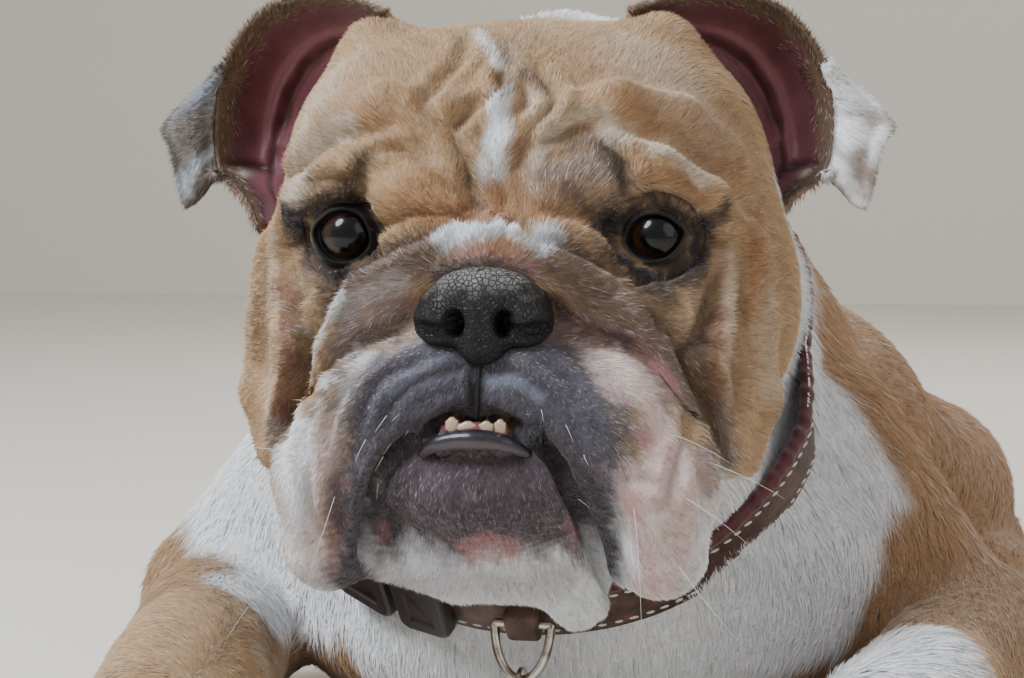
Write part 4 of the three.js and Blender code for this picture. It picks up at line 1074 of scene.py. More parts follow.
# Hair scattered over faces by how dense it is there, and coloured by the skin's own look.
def grow_hair(name, at, faces, out, looks, density, lie, slot, most, lift=(3, 13)):
    corners = at[faces]
    areas = np.linalg.norm(np.cross(corners[:, 1] - corners[:, 0], corners[:, 2] - corners[:, 0]), axis=1) / 2
    wanted = areas * density
    count = int(min(wanted.sum() * (1), most))
    picks = np.sort(random.choice(len(faces), count, p=wanted / wanted.sum()))
    share = random.dirichlet((1, 1, 1), count)[:, :, None]
    rooted = faces[picks]
    roots = (at[rooted] * share).sum(1)
    normals = unit((out[rooted] * share).sum(1))
    look = (looks[rooted] * share).sum(1)
    patches = (unwrapped(metres(at), faces)[picks] * share).sum(1)
    lengths = look[:, LENGTH] * random.uniform(0.65, 1.2, count)
    widths = np.interp(look[:, LENGTH], HAIR_LENGTHS, HAIR_WIDTHS) * random.uniform(0.75, 1.25, count)
    tone = np.clip(random.normal(1.0, 0.12, count) + waves(roots, 6, 9) * 0.07, 0.5, 1.5)
    odd = random.random(count)
    dark = odd < look[:, GRIZZLE] * 0.30
    pale = odd > 1 - look[:, GRIZZLE] * 0.22
    tone[dark] *= random.uniform(0.35, 0.7, dark.sum())
    colours = look[:, :3] * tone[:, None]
    paler = (0.2 + 0.4 * look[pale, GRIZZLE])[:, None]
    colours[pale] += (np.array(COAT["white"][0][:3]) - colours[pale]) * paler
    mesh = spikes(name, roots, normals, lie(roots, normals), lengths, widths, random.uniform(*lift, count),
                  colours * 0.82, np.clip(colours * 1.06, 0, 1), patches)
    shown(name, mesh, coat_finish, slot)


# How wide hairs of these lengths are, how many lie over each spot, and the most to a square millimetre.
HAIR_LENGTHS = [1, 4, 8, 13]
HAIR_WIDTHS = [0.17, 0.27, 0.5, 0.8]
HAIRS_OVER = 1.9
DENSEST = 4.4
FLOOR_BARE = 2.5
middle_head = to_head(middles)
on_head = in_front(middle_head, *HAIRED_HEAD)
face_front = on_head & (middle_head[:, 1] < 34)
muzzle = face_front & (middle_head[:, 2] < -6)
left_side = middles[:, 0] > 0
COAT_PIECES = {
    "coat_muzzle_left": (muzzle & (middle_head[:, 0] > 0), 38000),
    "coat_muzzle_right": (muzzle & (middle_head[:, 0] <= 0), 38000),
    "coat_brow": (face_front & ~muzzle, 46000),
    "coat_cheek_left": (on_head & ~face_front & (middle_head[:, 0] > 0), 26000),
    "coat_cheek_right": (on_head & ~face_front & (middle_head[:, 0] <= 0), 26000),
    "coat_neck": (~on_head & ahead_of_collar, 31000),
    "coat_shoulder_left": (~on_head & ~ahead_of_collar & (middles[:, 1] < -50) & left_side, 28000),
    "coat_shoulder_right": (~on_head & ~ahead_of_collar & (middles[:, 1] < -50) & ~left_side, 27000),
    "coat_back_left": ((middles[:, 1] >= -50) & left_side, 20000),
    "coat_back_right": ((middles[:, 1] >= -50) & ~left_side, 18000),
}
face_hair = look[skin_faces, LENGTH].mean(1)
face_width = np.interp(face_hair, HAIR_LENGTHS, HAIR_WIDTHS)
face_density = np.minimum(2 * HAIRS_OVER / face_width / face_hair, DENSEST)
face_density[middles[:, 2] < FLOOR_BARE] = 0
inside_eye = np.zeros(len(middles), bool)
for eye in EYES.values():
    inside_eye |= np.linalg.norm((middle_head - eye)[:, [0, 2]], axis=1) < LID_SKIN - 1
face_density[inside_eye & face_front] = 0
gap = (((middle_head[:, [0, 2]] - MOUTH_MID) / (MOUTH_HALF + 1)) ** 2).sum(1) < 1
face_density[gap & face_front] = 0
for name, (region, most) in COAT_PIECES.items():
    chosen = np.nonzero(region & (face_density > 0))[0]
    grow_hair(name, points, skin_faces[chosen], skin_normals, look, face_density[chosen], coat_lie,
              "tan_coat", most)

# The eyes: dark brown balls with a raised clear cornea, looking at the camera. Each point carries
# its angle from the line of sight, which colours pupil, iris, dark rim and white.
CORNEA_RISE = 1.3
SIGHT_EDGE = 75
SIGHT = {"left": np.array([0.17, -1.0, 0.06]), "right": np.array([0.24, -1.0, 0.08])}


def from_bmesh(name, bm, colours=None):
    mesh = bpy.data.meshes.new(name)
    bmesh.ops.recalc_face_normals(bm, faces=bm.faces)
    bm.to_mesh(mesh)
    bm.free()
    if colours is not None:
        paint(mesh, colours)
    return mesh


def corners_of(verts):
    return np.array([vertex.co for vertex in verts])


def move(verts, points):
    for vertex, at in zip(verts, points):
        vertex.co = at


eye_finish = Finish("eye", 0.3, 0.1, Coat_Weight=0.8, Coat_Roughness=0.02, Coat_IOR=1.38)
eye_rings = eye_finish.ramp(eye_finish.value("Sight"), [
    (0.0, linear(4, 4, 6)),
    (0.36, linear(5, 5, 6)),
    (0.42, linear(36, 22, 14)),
    (0.56, linear(54, 33, 20)),
    (0.66, linear(22, 13, 10)),
    (0.72, linear(9, 7, 7)),
    (0.84, linear(60, 48, 44)),
    (1.0, linear(120, 92, 84)),
])
eye_streaks = eye_finish.ramp(eye_finish.noise(900, 4), [(0.35, (0.55, 0.5, 0.5, 1)), (0.65, (1, 1, 1, 1))])
eye_finish.colour(eye_finish.mix(1.0, eye_rings, eye_streaks, "MULTIPLY"))
for side, eye in EYES.items():
    bm = bmesh.new()
    bmesh.ops.create_uvsphere(bm, u_segments=64, v_segments=40, radius=1.0)
    ball = corners_of(bm.verts)
    rise = np.clip((ball[:, 2] - 0.72) / 0.28, 0, 1)
    rise = rise * rise * (3 - 2 * rise)
    gaze = Vector(SIGHT[side]).to_track_quat("Z", "Y").to_matrix()
    turned = ball @ np.array(gaze).T * (EYE_RADIUS + CORNEA_RISE * rise)[:, None]
    move(bm.verts, metres(from_head(turned + eye)))
    mesh = from_bmesh(f"eye_{side}", bm)
    point_values(mesh, "Sight", np.degrees(np.arccos(np.clip(ball[:, 2], -1, 1))) / SIGHT_EDGE)
    shown(f"eye_ball_{side}", mesh, eye_finish, "eye", f"eye_{side}")

# The eyelids: dark bare skin with a wet rounded rim on the ball, running out to the skin of the
# face. The upper lid has one fold over it.
LID_HALF = {"left": (8.5, 7.3), "right": (8.9, 8.5)}
LID_RINGS = [(0.90, 12.3), (0.985, 12.9), (1.0, 13.5), (1.03, 14.2), (1.08, 14.7), (1.15, 15.1), (1.23, 15.4),
             (1.33, 15.6), (1.44, 15.8), (1.56, 16), (1.70, 16), (1.84, 16), (1.98, 16), (2.10, 16)]
LID_SINK = [(1.0, -0.4), (1.56, -0.3), (1.70, 0.2), (1.84, 0.9), (1.98, 2.0), (2.10, 4.0)]
LID_STEPS = 144
# The rings of the lids' inner part, which carry no hair.
BARE_RINGS = 5
LID_DENSITY = 3.2
LID_HAIRS = 4500


def lid_grid(side):
    eye = EYES[side]
    outward = 1 if side == "left" else -1
    wide, tall = LID_HALF[side]
    angle = np.arange(LID_STEPS) / LID_STEPS * 2 * math.pi
    corner = np.abs(np.cos(angle)) ** 6
    outer = np.cos(angle) > 0
    rings = []
    for scale, radius in LID_RINGS:
        near = np.clip((1.9 - scale) / 0.9, 0, 1)
        x = np.cos(angle) * wide * scale * (1 + 0.14 * corner * outer * near)
        z = np.sin(angle) * tall * scale * (1 - 0.12 * corner * near)
        z = z + corner * np.where(outer, 1.0, -1.2) * near
        ball_y = -np.sqrt(np.clip(radius ** 2 - x * x - z * z, 0.5, None))
        skin = on_face(np.column_stack([eye[0] + outward * x, eye[2] + z]), -COAT_DEPTH[0], -40)
        _, out = outside(from_head(skin))
        push, shade = folded(skin)
        skin = skin + out @ HEAD_TURN * (push - np.interp(scale, *zip(*LID_SINK)))[:, None]
        t = np.clip((scale - 1.10) / 0.55, 0, 1)
        t = t * t * (3 - 2 * t)
        upper = np.clip(np.sin(angle) * 1.6 + 0.2, 0, 1)
        fold = upper * (1.6 * ridge(scale, 1.30, 0.06) - 1.5 * ridge(scale, 1.46, 0.1))
        lower = np.clip(-np.sin(angle) * 1.6, 0, 1) * 0.9 * ridge(scale, 1.36, 0.06)
        y = ball_y * (1 - t) + (skin[:, 1] - eye[1]) * t + fold + lower
        x = outward * x * (1 - t) + (skin[:, 0] - eye[0]) * t
        z = z * (1 - t) + (skin[:, 2] - eye[2]) * t
        # The fourth value is painted shade, from the face's folds and on the lids' own folds.
        rings.append(np.column_stack([x, y, z, np.maximum(shade, 0.6 * (fold + lower > 0.6))]) + [*eye, 0])
    return np.array(rings)


# Two triangles from each four-sided face.
def halved(quads):
    return np.vstack([quads[:, [0, 1, 2]], quads[:, [0, 2, 3]]])


lid_finish = Finish("eyelid", 0.6, 0.15)
lid_finish.colour(lid_finish.painted("Coat"))
lid_finish.bump(lid_finish.noise(1500, 4), 0.0004, 0.5)
for side in EYES:
    grid = lid_grid(side)
    rings, steps = grid.shape[:2]
    flat = from_head(grid[:, :, :3].reshape(-1, 3))
    lid_look = marked(flat)
    scale = np.repeat([ring[0] for ring in LID_RINGS], steps)
    lid_look[:, :3] = blended(lid_look[:, :3], linear(31, 25, 25), np.clip((1.8 - scale) / 0.6, 0, 1) * 0.9)
    lid_look[:, :3] = blended(lid_look[:, :3], linear(12, 10, 11), np.clip((1.18 - scale) / 0.1, 0, 1))
    # Painted shade from the folds darkens the lids' colour.
    lid_look[:, :3] *= 1 - 0.5 * grid[:, :, 3].reshape(-1, 1)
    lid_look[:, LENGTH] = np.interp(scale, [1.2, 1.7], [1.4, 3.6])
    lid_look[:, GRIZZLE] = 0.12
    index = np.arange(rings * steps).reshape(rings, steps)
    following = np.roll(index, -1, axis=1)
    quads = np.stack([index[:-1], following[:-1], following[1:], index[1:]], -1).reshape(-1, 4)
    if side == "left":
        quads = quads[:, ::-1]
    mesh = made_mesh(f"lids_{side}", metres(flat), quads, lid_look)
    shown(f"lids_{side}", mesh, lid_finish, "dark_skin", f"eyelids_{side}")
    haired_faces = halved(quads[quads.min(1) >= BARE_RINGS * steps])
    eye_at = from_head(EYES[side])

    def away_from_eye(roots, normals):
        return along_skin(unit(roots - eye_at), normals)

    grow_hair(f"coat_lids_{side}", flat, haired_faces, normals_of(mesh), lid_look,
              np.full(len(haired_faces), LID_DENSITY), away_from_eye, "dark_skin", LID_HAIRS)

# The nose: bare charcoal leather, dry and finely cracked on top, with comma nostrils that run out
# into slits and a groove down its middle.
NOSE_FORMS = unturned(
    oval([0, -24, -24], [22, 15.5, 14], 3)
    + pair(oval([13.5, -29, -27], [10, 9.5, 8.6], 3))
    + oval([0, -30, -16], [15, 8.5, 6.0], 4)
    + oval([0, -31, -34], [8.5, 7.5, 7.5], 3)
)
NOSE_HOLES = unturned(
    pair(roll([[8.8, -41, -20.5], [7.4, -42, -25], [8.4, -41, -30]], [1.9, 3.1, 3.5], 1.4))
    + pair(oval([8.2, -38, -27.5], [3.2, 10, 4.6], 1.6))
    + pair(roll([[8.4, -40, -30.3], [13, -38.5, -31.2], [18, -36.5, -30], [23.5, -31, -28]],
                [3, 2.5, 2.2, 1.6], 1.4))
    + roll([[0, -41, -24], [0, -41, -33], [0, -38, -42]], [1.2, 1.6, 1.8], 0.8)
)
NOSE_HEART = np.array([0, -14, -25.0])


def nose_outside(points):
    far, _ = outside(points, NOSE_FORMS)
    for hole in NOSE_HOLES:
        d, _ = outside_one(hole, points)
        k = hole[3]
        h = np.maximum(k - np.abs(far + d), 0) / k
        far = np.maximum(far, -d) + h * h * k / 4
    return far


bm = bmesh.new()
bmesh.ops.create_icosphere(bm, subdivisions=6, radius=1.0)
ways = corners_of(bm.verts)
reach = np.full(len(ways), 42.0)
for _ in range(34):
    reach = np.maximum(reach - np.clip(nose_outside(NOSE_HEART + ways * reach[:, None]) * 0.7, 0, 8), 3.0)
nose_points = NOSE_HEART + ways * reach[:, None]
move(bm.verts, metres(from_head(nose_points)))
nose_mesh = from_bmesh("nose_leather", bm)
hole_depth = np.minimum.reduce([outside_one(hole, nose_points)[0] for hole in NOSE_HOLES])
dry = np.clip((nose_points[:, 2] + 21) / 10, 0, 1) ** 1.4 * np.clip((hole_depth - 1) / 4, 0, 1)
dry = np.clip(dry + waves(nose_points, 7, 31) * 0.18 * (dry > 0.05), 0, 1)
# Painted shade: the leather darkens to near black down in the nostrils.
dark = np.clip((hole_depth + 0.2) / 1.6, 0.04, 1)
nose_colour = blended(np.array(linear(24, 22, 23)[:3]), linear(70, 68, 68), 0.5 * dry)
paint(nose_mesh, nose_colour * dark[:, None])
point_values(nose_mesh, "Dry", dry * dark)
nose_finish = Finish("nose leather", 0.5, 0.28)
nose_edges = nose_finish.cells(560, "DISTANCE_TO_EDGE")
nose_cracks = nose_finish.ramp(nose_edges, [(0.0, (0, 0, 0, 1)), (0.14, (1, 1, 1, 1))])
nose_plates = nose_finish.mix(nose_cracks, linear(10, 9, 9), linear(122, 119, 116))
nose_finish.colour(nose_finish.mix(nose_finish.value("Dry"), nose_finish.painted("Coat"), nose_plates))
nose_finish.bump(nose_cracks, 0.0005, 0.7)
nose_finish.bump(nose_finish.cells(1100), 0.0003, 0.5)
shown("nose_leather", nose_mesh, nose_finish, "nose_leather", "nose")

# The mouth: a wet dark rim along the lower lip that fades into the chin, a dark tube laid in the upper lip's
# groove as painted shade, pink gum, and four small lower front teeth.
LOWER_LIP = [(-20, -71), (-15.5, -67.6), (-9, -65.7), (-2, -65.1), (5, -65.5), (11, -67.3), (16, -70.6)]
GROOVE_LINE = [(-0.6, -36), (-0.9, -44), (-1.3, -52), (-1.7, -59.5)]
GUM = [[-12, -32, -63.6], [-6, -35.5, -62.8], [-2, -36.2, -62.6], [2, -35.5, -62.8], [8, -32, -63.6]]
TEETH = [([-9.2, -36.0, -61.3], [2.2, 1.8, 2.9]), ([-3.8, -37.2, -61.8], [3.3, 1.6, 2.2]),
         ([2.3, -37.2, -61.7], [2.5, 1.6, 2.3]), ([6.8, -36.3, -61.6], [2.0, 1.7, 2.7])]


# A tube along a path, from rings of points, closed at both ends or round on itself.
def tube(bm, path, radii, sides=12, closed=False):
    path = np.asarray(path, float)
    count = len(path)
    radii = np.full(count, radii, float) if np.isscalar(radii) else np.asarray(radii, float)
    if closed:
        along = unit(np.roll(path, -1, 0) - np.roll(path, 1, 0))
    else:
        along = unit(np.gradient(path, axis=0))
    side = unit(np.cross(along[0], [0.31, 0.17, 0.93]))
    loops = []
    for i in range(count):
        side = unit(side - along[i] * (side @ along[i]))
        up = np.cross(along[i], side)
        turn = np.arange(sides) / sides * 2 * math.pi
        ring = path[i] + radii[i] * (np.cos(turn)[:, None] * side + np.sin(turn)[:, None] * up)
        loops.append([bm.verts.new(at) for at in ring])
    pairs = list(zip(loops[:-1], loops[1:]))
    if closed:
        first, last = loops[0], loops[-1]
        gaps = [sum((last[i].co - first[(i + k) % sides].co).length for i in range(sides))
                for k in range(sides)]
        offset = int(np.argmin(gaps))
        pairs.append((last, first[offset:] + first[:offset]))
    for a, b in pairs:
        for i in range(sides):
            bm.faces.new((a[i], a[(i + 1) % sides], b[(i + 1) % sides], b[i]))
    if not closed:
        bm.faces.new(reversed(loops[0]))
        bm.faces.new(loops[-1])


def tube_piece(name, path, radii, sides, finish, slot, *nodes, closed=False):
    bm = bmesh.new()
    tube(bm, path, radii, sides, closed)
    shown(name, from_bmesh(name, bm), finish, slot, *nodes)


rim_line = on_face(curved(LOWER_LIP, 1.0), 0.0)
t = np.linspace(0, 1, len(rim_line))
rim_line[:, 1] = np.interp(t, [0, 0.2, 0.5, 0.8, 1], [-33.5, -38.0, -40.0, -38.8, -33.8])
bm = bmesh.new()
lip_radii = 0.9 + 2.6 * np.sin(math.pi * np.clip(t, 0.02, 0.98)) ** 0.5
tube(bm, metres(from_head(rim_line)), lip_radii * MM, 16)
lip_points = to_head(corners_of(bm.verts) * METRE - DOG_PLACE)
below_rim = np.interp(lip_points[:, 0], rim_line[:, 0], rim_line[:, 2]) - lip_points[:, 2]
dry_share = np.clip(below_rim / 1.6 + 0.3, 0, 1)
lip_colours = blended(np.array(linear(28, 24, 30)[:3]), np.array(COAT["chin"][0]) * 0.8, dry_share)
lip_finish = Finish("wet lip", 0.4, 0.4, Coat_Weight=0.3, Coat_Roughness=0.1)
lip_finish.colour(lip_finish.painted("Coat"))
lip_finish.bump(lip_finish.noise(700, 4), 0.0004, 0.5)
shown("lower_lip", from_bmesh("lower_lip", bm, lip_colours), lip_finish, "dark_skin")
# Painted shade: a thin near-black tube deep in the upper lip's groove.
groove_shade_finish = Finish("painted shade in the upper lip's groove", 0.6, 0.3)
groove_shade_finish.colour(linear(20, 17, 20))
groove_path = metres(from_head(on_face(curved(GROOVE_LINE, 1.0), -0.5)))
tube_piece("upper_lip_groove_shade", groove_path, 0.0009, 10, groove_shade_finish, "dark_skin")
gum_finish = Finish("gum", 0.25, 0.5, Coat_Weight=0.4, Coat_Roughness=0.1)
gum_finish.colour(gum_finish.mix(gum_finish.noise(400), linear(96, 50, 52), linear(140, 82, 80)))
tube_piece("gum", metres(from_head(curved(GUM, 1.5))), 0.0030, 12, gum_finish, "dark_skin")
bm = bmesh.new()
for at, half in TEETH:
    made = bmesh.ops.create_uvsphere(bm, u_segments=20, v_segments=14, radius=1.0)["verts"]
    ball = corners_of(made)
    square = np.abs(ball) ** 0.6 * np.sign(ball)
    tooth_points = square * half + at
    tooth_points[:, 2] += 0.35 * np.cos(ball[:, 0] * 6) * (ball[:, 2] > 0)
    move(made, metres(from_head(tooth_points)))
tooth_finish = Finish("tooth", 0.22, 0.5, Coat_Weight=0.3, Coat_Roughness=0.1)
tooth_finish.colour(tooth_finish.mix(tooth_finish.noise(350), linear(158, 130, 108), linear(190, 166, 144)))
shown("teeth", from_bmesh("teeth", bm), tooth_finish, "tooth", "lower_teeth")

# The ears: thin cups that open forwards, with the tip of the flap folded out and down from the rim.
# Inside they are bare burgundy skin with ridges; the rim and the backs are haired.
EAR_ROOT = [[40, 76, 66], [62, 84, 48], [78, 84, 22], [84, 74, -4]]
EAR_RIM = [[46, 62, 81], [70, 74, 88], [96, 84, 84], [112, 88, 67],
           [118, 90, 44], [116, 86, 24], [104, 76, 13], [95, 64, 2]]
FLAP_EDGE = [[114, 90, 63], [138, 93, 42], [135, 92, 30], [129, 86, 9], [119, 86, 24]]
FLAP_SPAN = (0.48, 0.76)
CUP_DEPTH = 22.0
PLEAT_DEPTH = 3.0
EARS_ASIDE = np.array([-6.0, 0, 0])
EAR_THICKNESS = 3.6
EAR_HAIRS = 18000
CUP_STEPS = (110, 44)
FLAP_STEPS = (60, 36)
FLAP_BULGE = 5
CURVE_STEP = 0.5


# Places along a curve, with an equal share of it between each two of the points that it runs through.
def along_curve(points, t):
    line = curved(points, CURVE_STEP)
    starts = np.linspace(0, 1, len(points))
    shares = []
    for i, (a, b) in enumerate(zip(points[:-1], points[1:])):
        count = max(1, int(np.linalg.norm(np.subtract(b, a)) / CURVE_STEP))
        shares.append(starts[i] + (starts[i + 1] - starts[i]) * np.arange(count) / count)
    shares = np.concatenate(shares + [[1.0]])
    return np.column_stack([np.interp(t, shares, line[:, axis]) for axis in range(3)])


# Cup and flap on their own squares: u runs along the rim, v from the head to the rim or edge.
def cup_points(u, v):
    rim = along_curve(EAR_RIM, u)
    root = along_curve(EAR_ROOT, u)
    at = root + (rim - root) * v[:, None]
    at[:, 1] += CUP_DEPTH * np.sin(math.pi * v) * np.sin(math.pi * u)
    return at


def flap_points(u, v):
    fold = along_curve(EAR_RIM, FLAP_SPAN[0] + (FLAP_SPAN[1] - FLAP_SPAN[0]) * u)
    edge = along_curve(FLAP_EDGE, u)
    at = fold + (edge - fold) * v[:, None]
    pleats = PLEAT_DEPTH * v * np.sin(3 * math.pi * u)
    at[:, 1] += pleats - FLAP_BULGE * np.sin(math.pi * np.clip(v * 1.2, 0, 1)) ** 2 * (1 - v)
    return at


# A curved sheet with a wall: the points of its front, then of its back, and the faces that close it.
def shell(points_at, steps, thickness, relief):
    across, down = steps
    u, v = np.meshgrid(np.linspace(0, 1, across), np.linspace(0, 1, down), indexing="ij")
    u, v = u.ravel(), v.ravel()
    slope_u = points_at(np.clip(u + 0.01, 0, 1), v) - points_at(np.clip(u - 0.01, 0, 1), v)
    slope_v = points_at(u, np.clip(v + 0.01, 0, 1)) - points_at(u, np.clip(v - 0.01, 0, 1))
    out = unit(np.cross(slope_u, slope_v))
    half = (thickness / 2 * (1 - 0.55 * np.clip((v - 0.86) / 0.14, 0, 1) ** 2))[:, None]
    front = points_at(u, v) + out * half
    front[:, 1] -= relief(u, v)
    back = points_at(u, v) - out * half
    index = np.arange(across * down).reshape(across, down)
    quads = np.stack([index[:-1, :-1], index[1:, :-1], index[1:, 1:], index[:-1, 1:]], -1).reshape(-1, 4)
    count = len(u)
    edge = np.concatenate([index[:, 0], index[-1, 1:], index[-2::-1, -1], index[0, -2:0:-1]])
    following = np.roll(edge, -1)
    walls = np.stack([following, edge, edge + count, following + count], -1)
    faces = np.vstack([quads, quads[:, ::-1] + count, walls])
    return np.vstack([front, back]), faces, np.tile(u, 2), np.tile(v, 2), np.arange(2 * count) < count


def cup_relief(u, v):
    lift = 3.2 * ridge(v, 0.60, 0.055) * np.clip(1 - np.abs(u - 0.45) / 0.42, 0, 1)
    lift += 3.0 * ridge(u, 0.60, 0.045) * np.clip((v - 0.15) / 0.2, 0, 1) * np.clip((0.62 - v) / 0.1, 0, 1)
    lift += 2.4 * ridge(u, 0.80, 0.05) * np.clip((v - 0.25) / 0.2, 0, 1) * np.clip((0.85 - v) / 0.15, 0, 1)
    lift -= 3.0 * ridge(u, 0.71, 0.022) * np.clip((v - 0.5) / 0.15, 0, 1) * np.clip((0.98 - v) / 0.06, 0, 1)
    lift -= 2.0 * ridge(v, 0.50, 0.05) * np.clip(1 - np.abs(u - 0.4) / 0.4, 0, 1)
    return lift


def flap_relief(u, v):
    return 0.8 * ridge(u, 0.35, 0.12) * v - 0.8 * ridge(u, 0.62, 0.08) * v


# A colour, with others laid over it one after another, each by its share.
def layers(base, count, *over):
    colour = np.tile(base[:3], (count, 1))
    for other, share in over:
        colour = blended(colour, other, share)
    return colour


def cup_colours(u, v, front, points, side):
    v = v + waves(points, 14, 41) * 0.03
    # Inside, the cup is near black where it closes into the head and darker along its two grooves: painted
    # shade. Further out it is burgundy skin, with brown at the base and the rim.
    inner = layers(
        linear(26, 12, 13), len(u),
        (linear(112, 58, 66), np.clip((v - 0.28) / 0.16, 0, 1)),
        (linear(60, 24, 28), 0.8 * ridge(v, 0.53, 0.05)),
        (linear(80, 38, 42), 0.85 * ridge(v, 0.80, 0.09)),
        (linear(48, 18, 22), 0.8 * ridge(u, 0.71, 0.02) * (v > 0.45)),
        (linear(190, 176, 160), 0.9 * ridge(u, 0.745, 0.02) * ridge(v, 0.86, 0.09)),
        (linear(92, 70, 52), np.clip((v - 0.86) / 0.06, 0, 1)),
        (linear(108, 82, 58), np.clip((0.10 - v) / 0.06, 0, 1)),
    )
    outer = layers(COAT["fawn"][0], len(u), (COAT["brown"][0], np.clip((v - 0.8) / 0.15, 0, 1) * 0.7))
    colour = np.where(front[:, None], inner, outer)
    hair = np.where(front, np.where(v > 0.85, 3.0, 0.0), 4.5)
    return np.column_stack([colour, hair, np.full(len(u), 0.3)])


def flap_colours(u, v, front, points, side):
    uneven = u + waves(points, 10, 43) * 0.03
    if side == "left":
        stripes = [(linear(128, 104, 82), share * ridge(uneven, at, width) * np.clip(0.4 + v, 0, 1))
                   for at, width, share in ((0.30, 0.07, 0.7), (0.62, 0.08, 0.85), (0.93, 0.07, 0.9))]
        by_the_rim = (COAT["brown"][0], 0.6 * np.clip((0.12 - v) / 0.1, 0, 1))
        colour = layers(COAT["white"][0], len(u), *stripes, by_the_rim)
    else:
        colour = layers(
            linear(96, 86, 79), len(u),
            (linear(140, 146, 158), 0.7 * ridge(u, 0.12, 0.12)),
            (linear(170, 176, 184), 0.7 * ridge(uneven, 0.66, 0.06)),
            (linear(84, 66, 52), 0.8 * ridge(u, 0.88, 0.10)),
        )
    return np.column_stack([colour, np.full(len(u), 3.2), np.full(len(u), 0.2)])


ear_finish = Finish("ear skin", 0.5, 0.4, Sheen_Weight=0.15)
ear_finish.colour(ear_finish.painted("Coat"))
ear_finish.bump(ear_finish.noise(500, 4), 0.0006, 0.5)
for side, mirror in (("left", 1), ("right", -1)):
    parts = []
    for points_at, steps, relief, colours_at in (
            (cup_points, CUP_STEPS, cup_relief, cup_colours),
            (flap_points, FLAP_STEPS, flap_relief, flap_colours)):
        at, faces, u, v, front = shell(points_at, steps, EAR_THICKNESS, relief)
        ear_look = colours_at(u, v, front, at, side)
        at = at * [mirror, 1, 1]
        if mirror < 0:
            faces = faces[:, ::-1]
        parts.append((from_head(at + EARS_ASIDE), faces, ear_look))
    (cup_at, cup_faces, cup_look), (flap_at, flap_faces, flap_look) = parts
    ear_at = np.vstack([cup_at, flap_at])
    ear_faces = np.vstack([cup_faces, flap_faces + len(cup_at)])
    ear_look = np.vstack([cup_look, flap_look])
    mesh = made_mesh(f"ear_{side}", metres(ear_at), ear_faces, ear_look)
    shown(f"ear_skin_{side}", mesh, ear_finish, "ear_skin", f"ear_{side}")
    faces = halved(ear_faces)
    hair = ear_look[faces, LENGTH].mean(1)
    haired = hair > 1.5
    rim_out = from_head(np.array([mirror * 96.0, 76, 40]) + EARS_ASIDE)

    def to_the_rim(roots, normals):
        return along_skin(unit(roots - rim_out + [0, 0, -10]), normals)

    grow_hair(f"coat_ear_{side}", ear_at, faces[haired], normals_of(mesh), ear_look,
              np.minimum(10 / hair[haired], 3.2), to_the_rim, "ear_skin", EAR_HAIRS, lift=(3, 14))

# The collar: a dark brown leather strap in the line of the neck, with a puckered burgundy lining
# that shows along its head side, black piping along the other, and two rows of white stitches.
STRAP_STEPS = 48
STRAP_SINK = 1.5
strap_forms = placed(CHIN[2:]) + unturned(NECK + TORSO)


# Angle 0 is the lowest point of the strap, and a quarter turn on is the dog's left.
def out_from_collar(angle):
    return np.outer(np.sin(angle), [1.0, 0, 0]) - np.outer(np.cos(angle), STRAP_UP)


strap_ways = out_from_collar(np.arange(STRAP_STEPS) / STRAP_STEPS * 2 * math.pi)
reach = np.full(STRAP_STEPS, 190.0)
for _ in range(60):
    far, _ = outside(COLLAR_AT + strap_ways * (reach - 3)[:, None], strap_forms)
    reach = np.where(far > 0, reach - 3, reach)
inner_reach = reach - 3
for _ in range(10):
    half_way = (inner_reach + reach) / 2
    far, _ = outside(COLLAR_AT + strap_ways * half_way[:, None], strap_forms)
    inner_reach, reach = np.where(far > 0, inner_reach, half_way), np.where(far > 0, half_way, reach)
strap_radii = sum(np.roll(inner_reach, k) for k in range(-4, 5)) / 9


def on_strap(angle, height, across):
    angle, height, across = np.broadcast_arrays(*np.atleast_1d(angle, height, across))
    steps = angle / (2 * math.pi) % 1 * STRAP_STEPS
    radius = np.interp(steps, np.arange(STRAP_STEPS + 1), np.append(strap_radii, strap_radii[0]))
    out = out_from_collar(angle) * (radius - STRAP_SINK + height)[:, None]
    return COLLAR_AT + out + STRAP_AXIS * across[:, None]


def strap_frame(angle):
    out = out_from_collar([angle])[0]
    return np.array([np.cross(STRAP_AXIS, out), STRAP_AXIS, out]), on_strap(angle, 0, 0)[0]


def outward(mesh):
    bm = bmesh.new()
    bm.from_mesh(mesh)
    bmesh.ops.recalc_face_normals(bm, faces=bm.faces)
    bm.to_mesh(mesh)
    bm.free()
    return mesh


# A closed ring of sections: rows of points, joined to the next row and the last to the first.
def ring_faces(rows, count):
    index = np.arange(rows * count).reshape(rows, count)
    on = np.roll(index, -1, 0)
    return np.stack([index, on, np.roll(on, -1, 1), np.roll(index, -1, 1)], -1).reshape(-1, 4)


BAND_STEPS = 720
SECTION_STEPS = 16


def band(name, section, finish, slot, *nodes):
    angle, turn = np.meshgrid(np.arange(BAND_STEPS) / BAND_STEPS * 2 * math.pi,
                              np.arange(SECTION_STEPS) / SECTION_STEPS * 2 * math.pi, indexing="ij")
    height, across = section(angle.ravel(), turn.ravel())
    at = on_strap(angle.ravel(), height, across)
    mesh = outward(made_mesh(name, metres(at), ring_faces(BAND_STEPS, SECTION_STEPS)))
    shown(name, mesh, finish, slot, *nodes)


def rounded(value, power):
    return np.sign(value) * np.abs(value) ** power


STITCH_ROWS = (5.4, -9.4)
SUNK_FROM = 1.2
SUNK_BY = 7.0


# Above the throat the strap lies deeper in the hair of the neck.
def sunk(angle):
    from_low = np.abs((np.asarray(angle) + math.pi) % (2 * math.pi) - math.pi)
    return SUNK_BY * np.clip((from_low - SUNK_FROM) / 0.4, 0, 1)


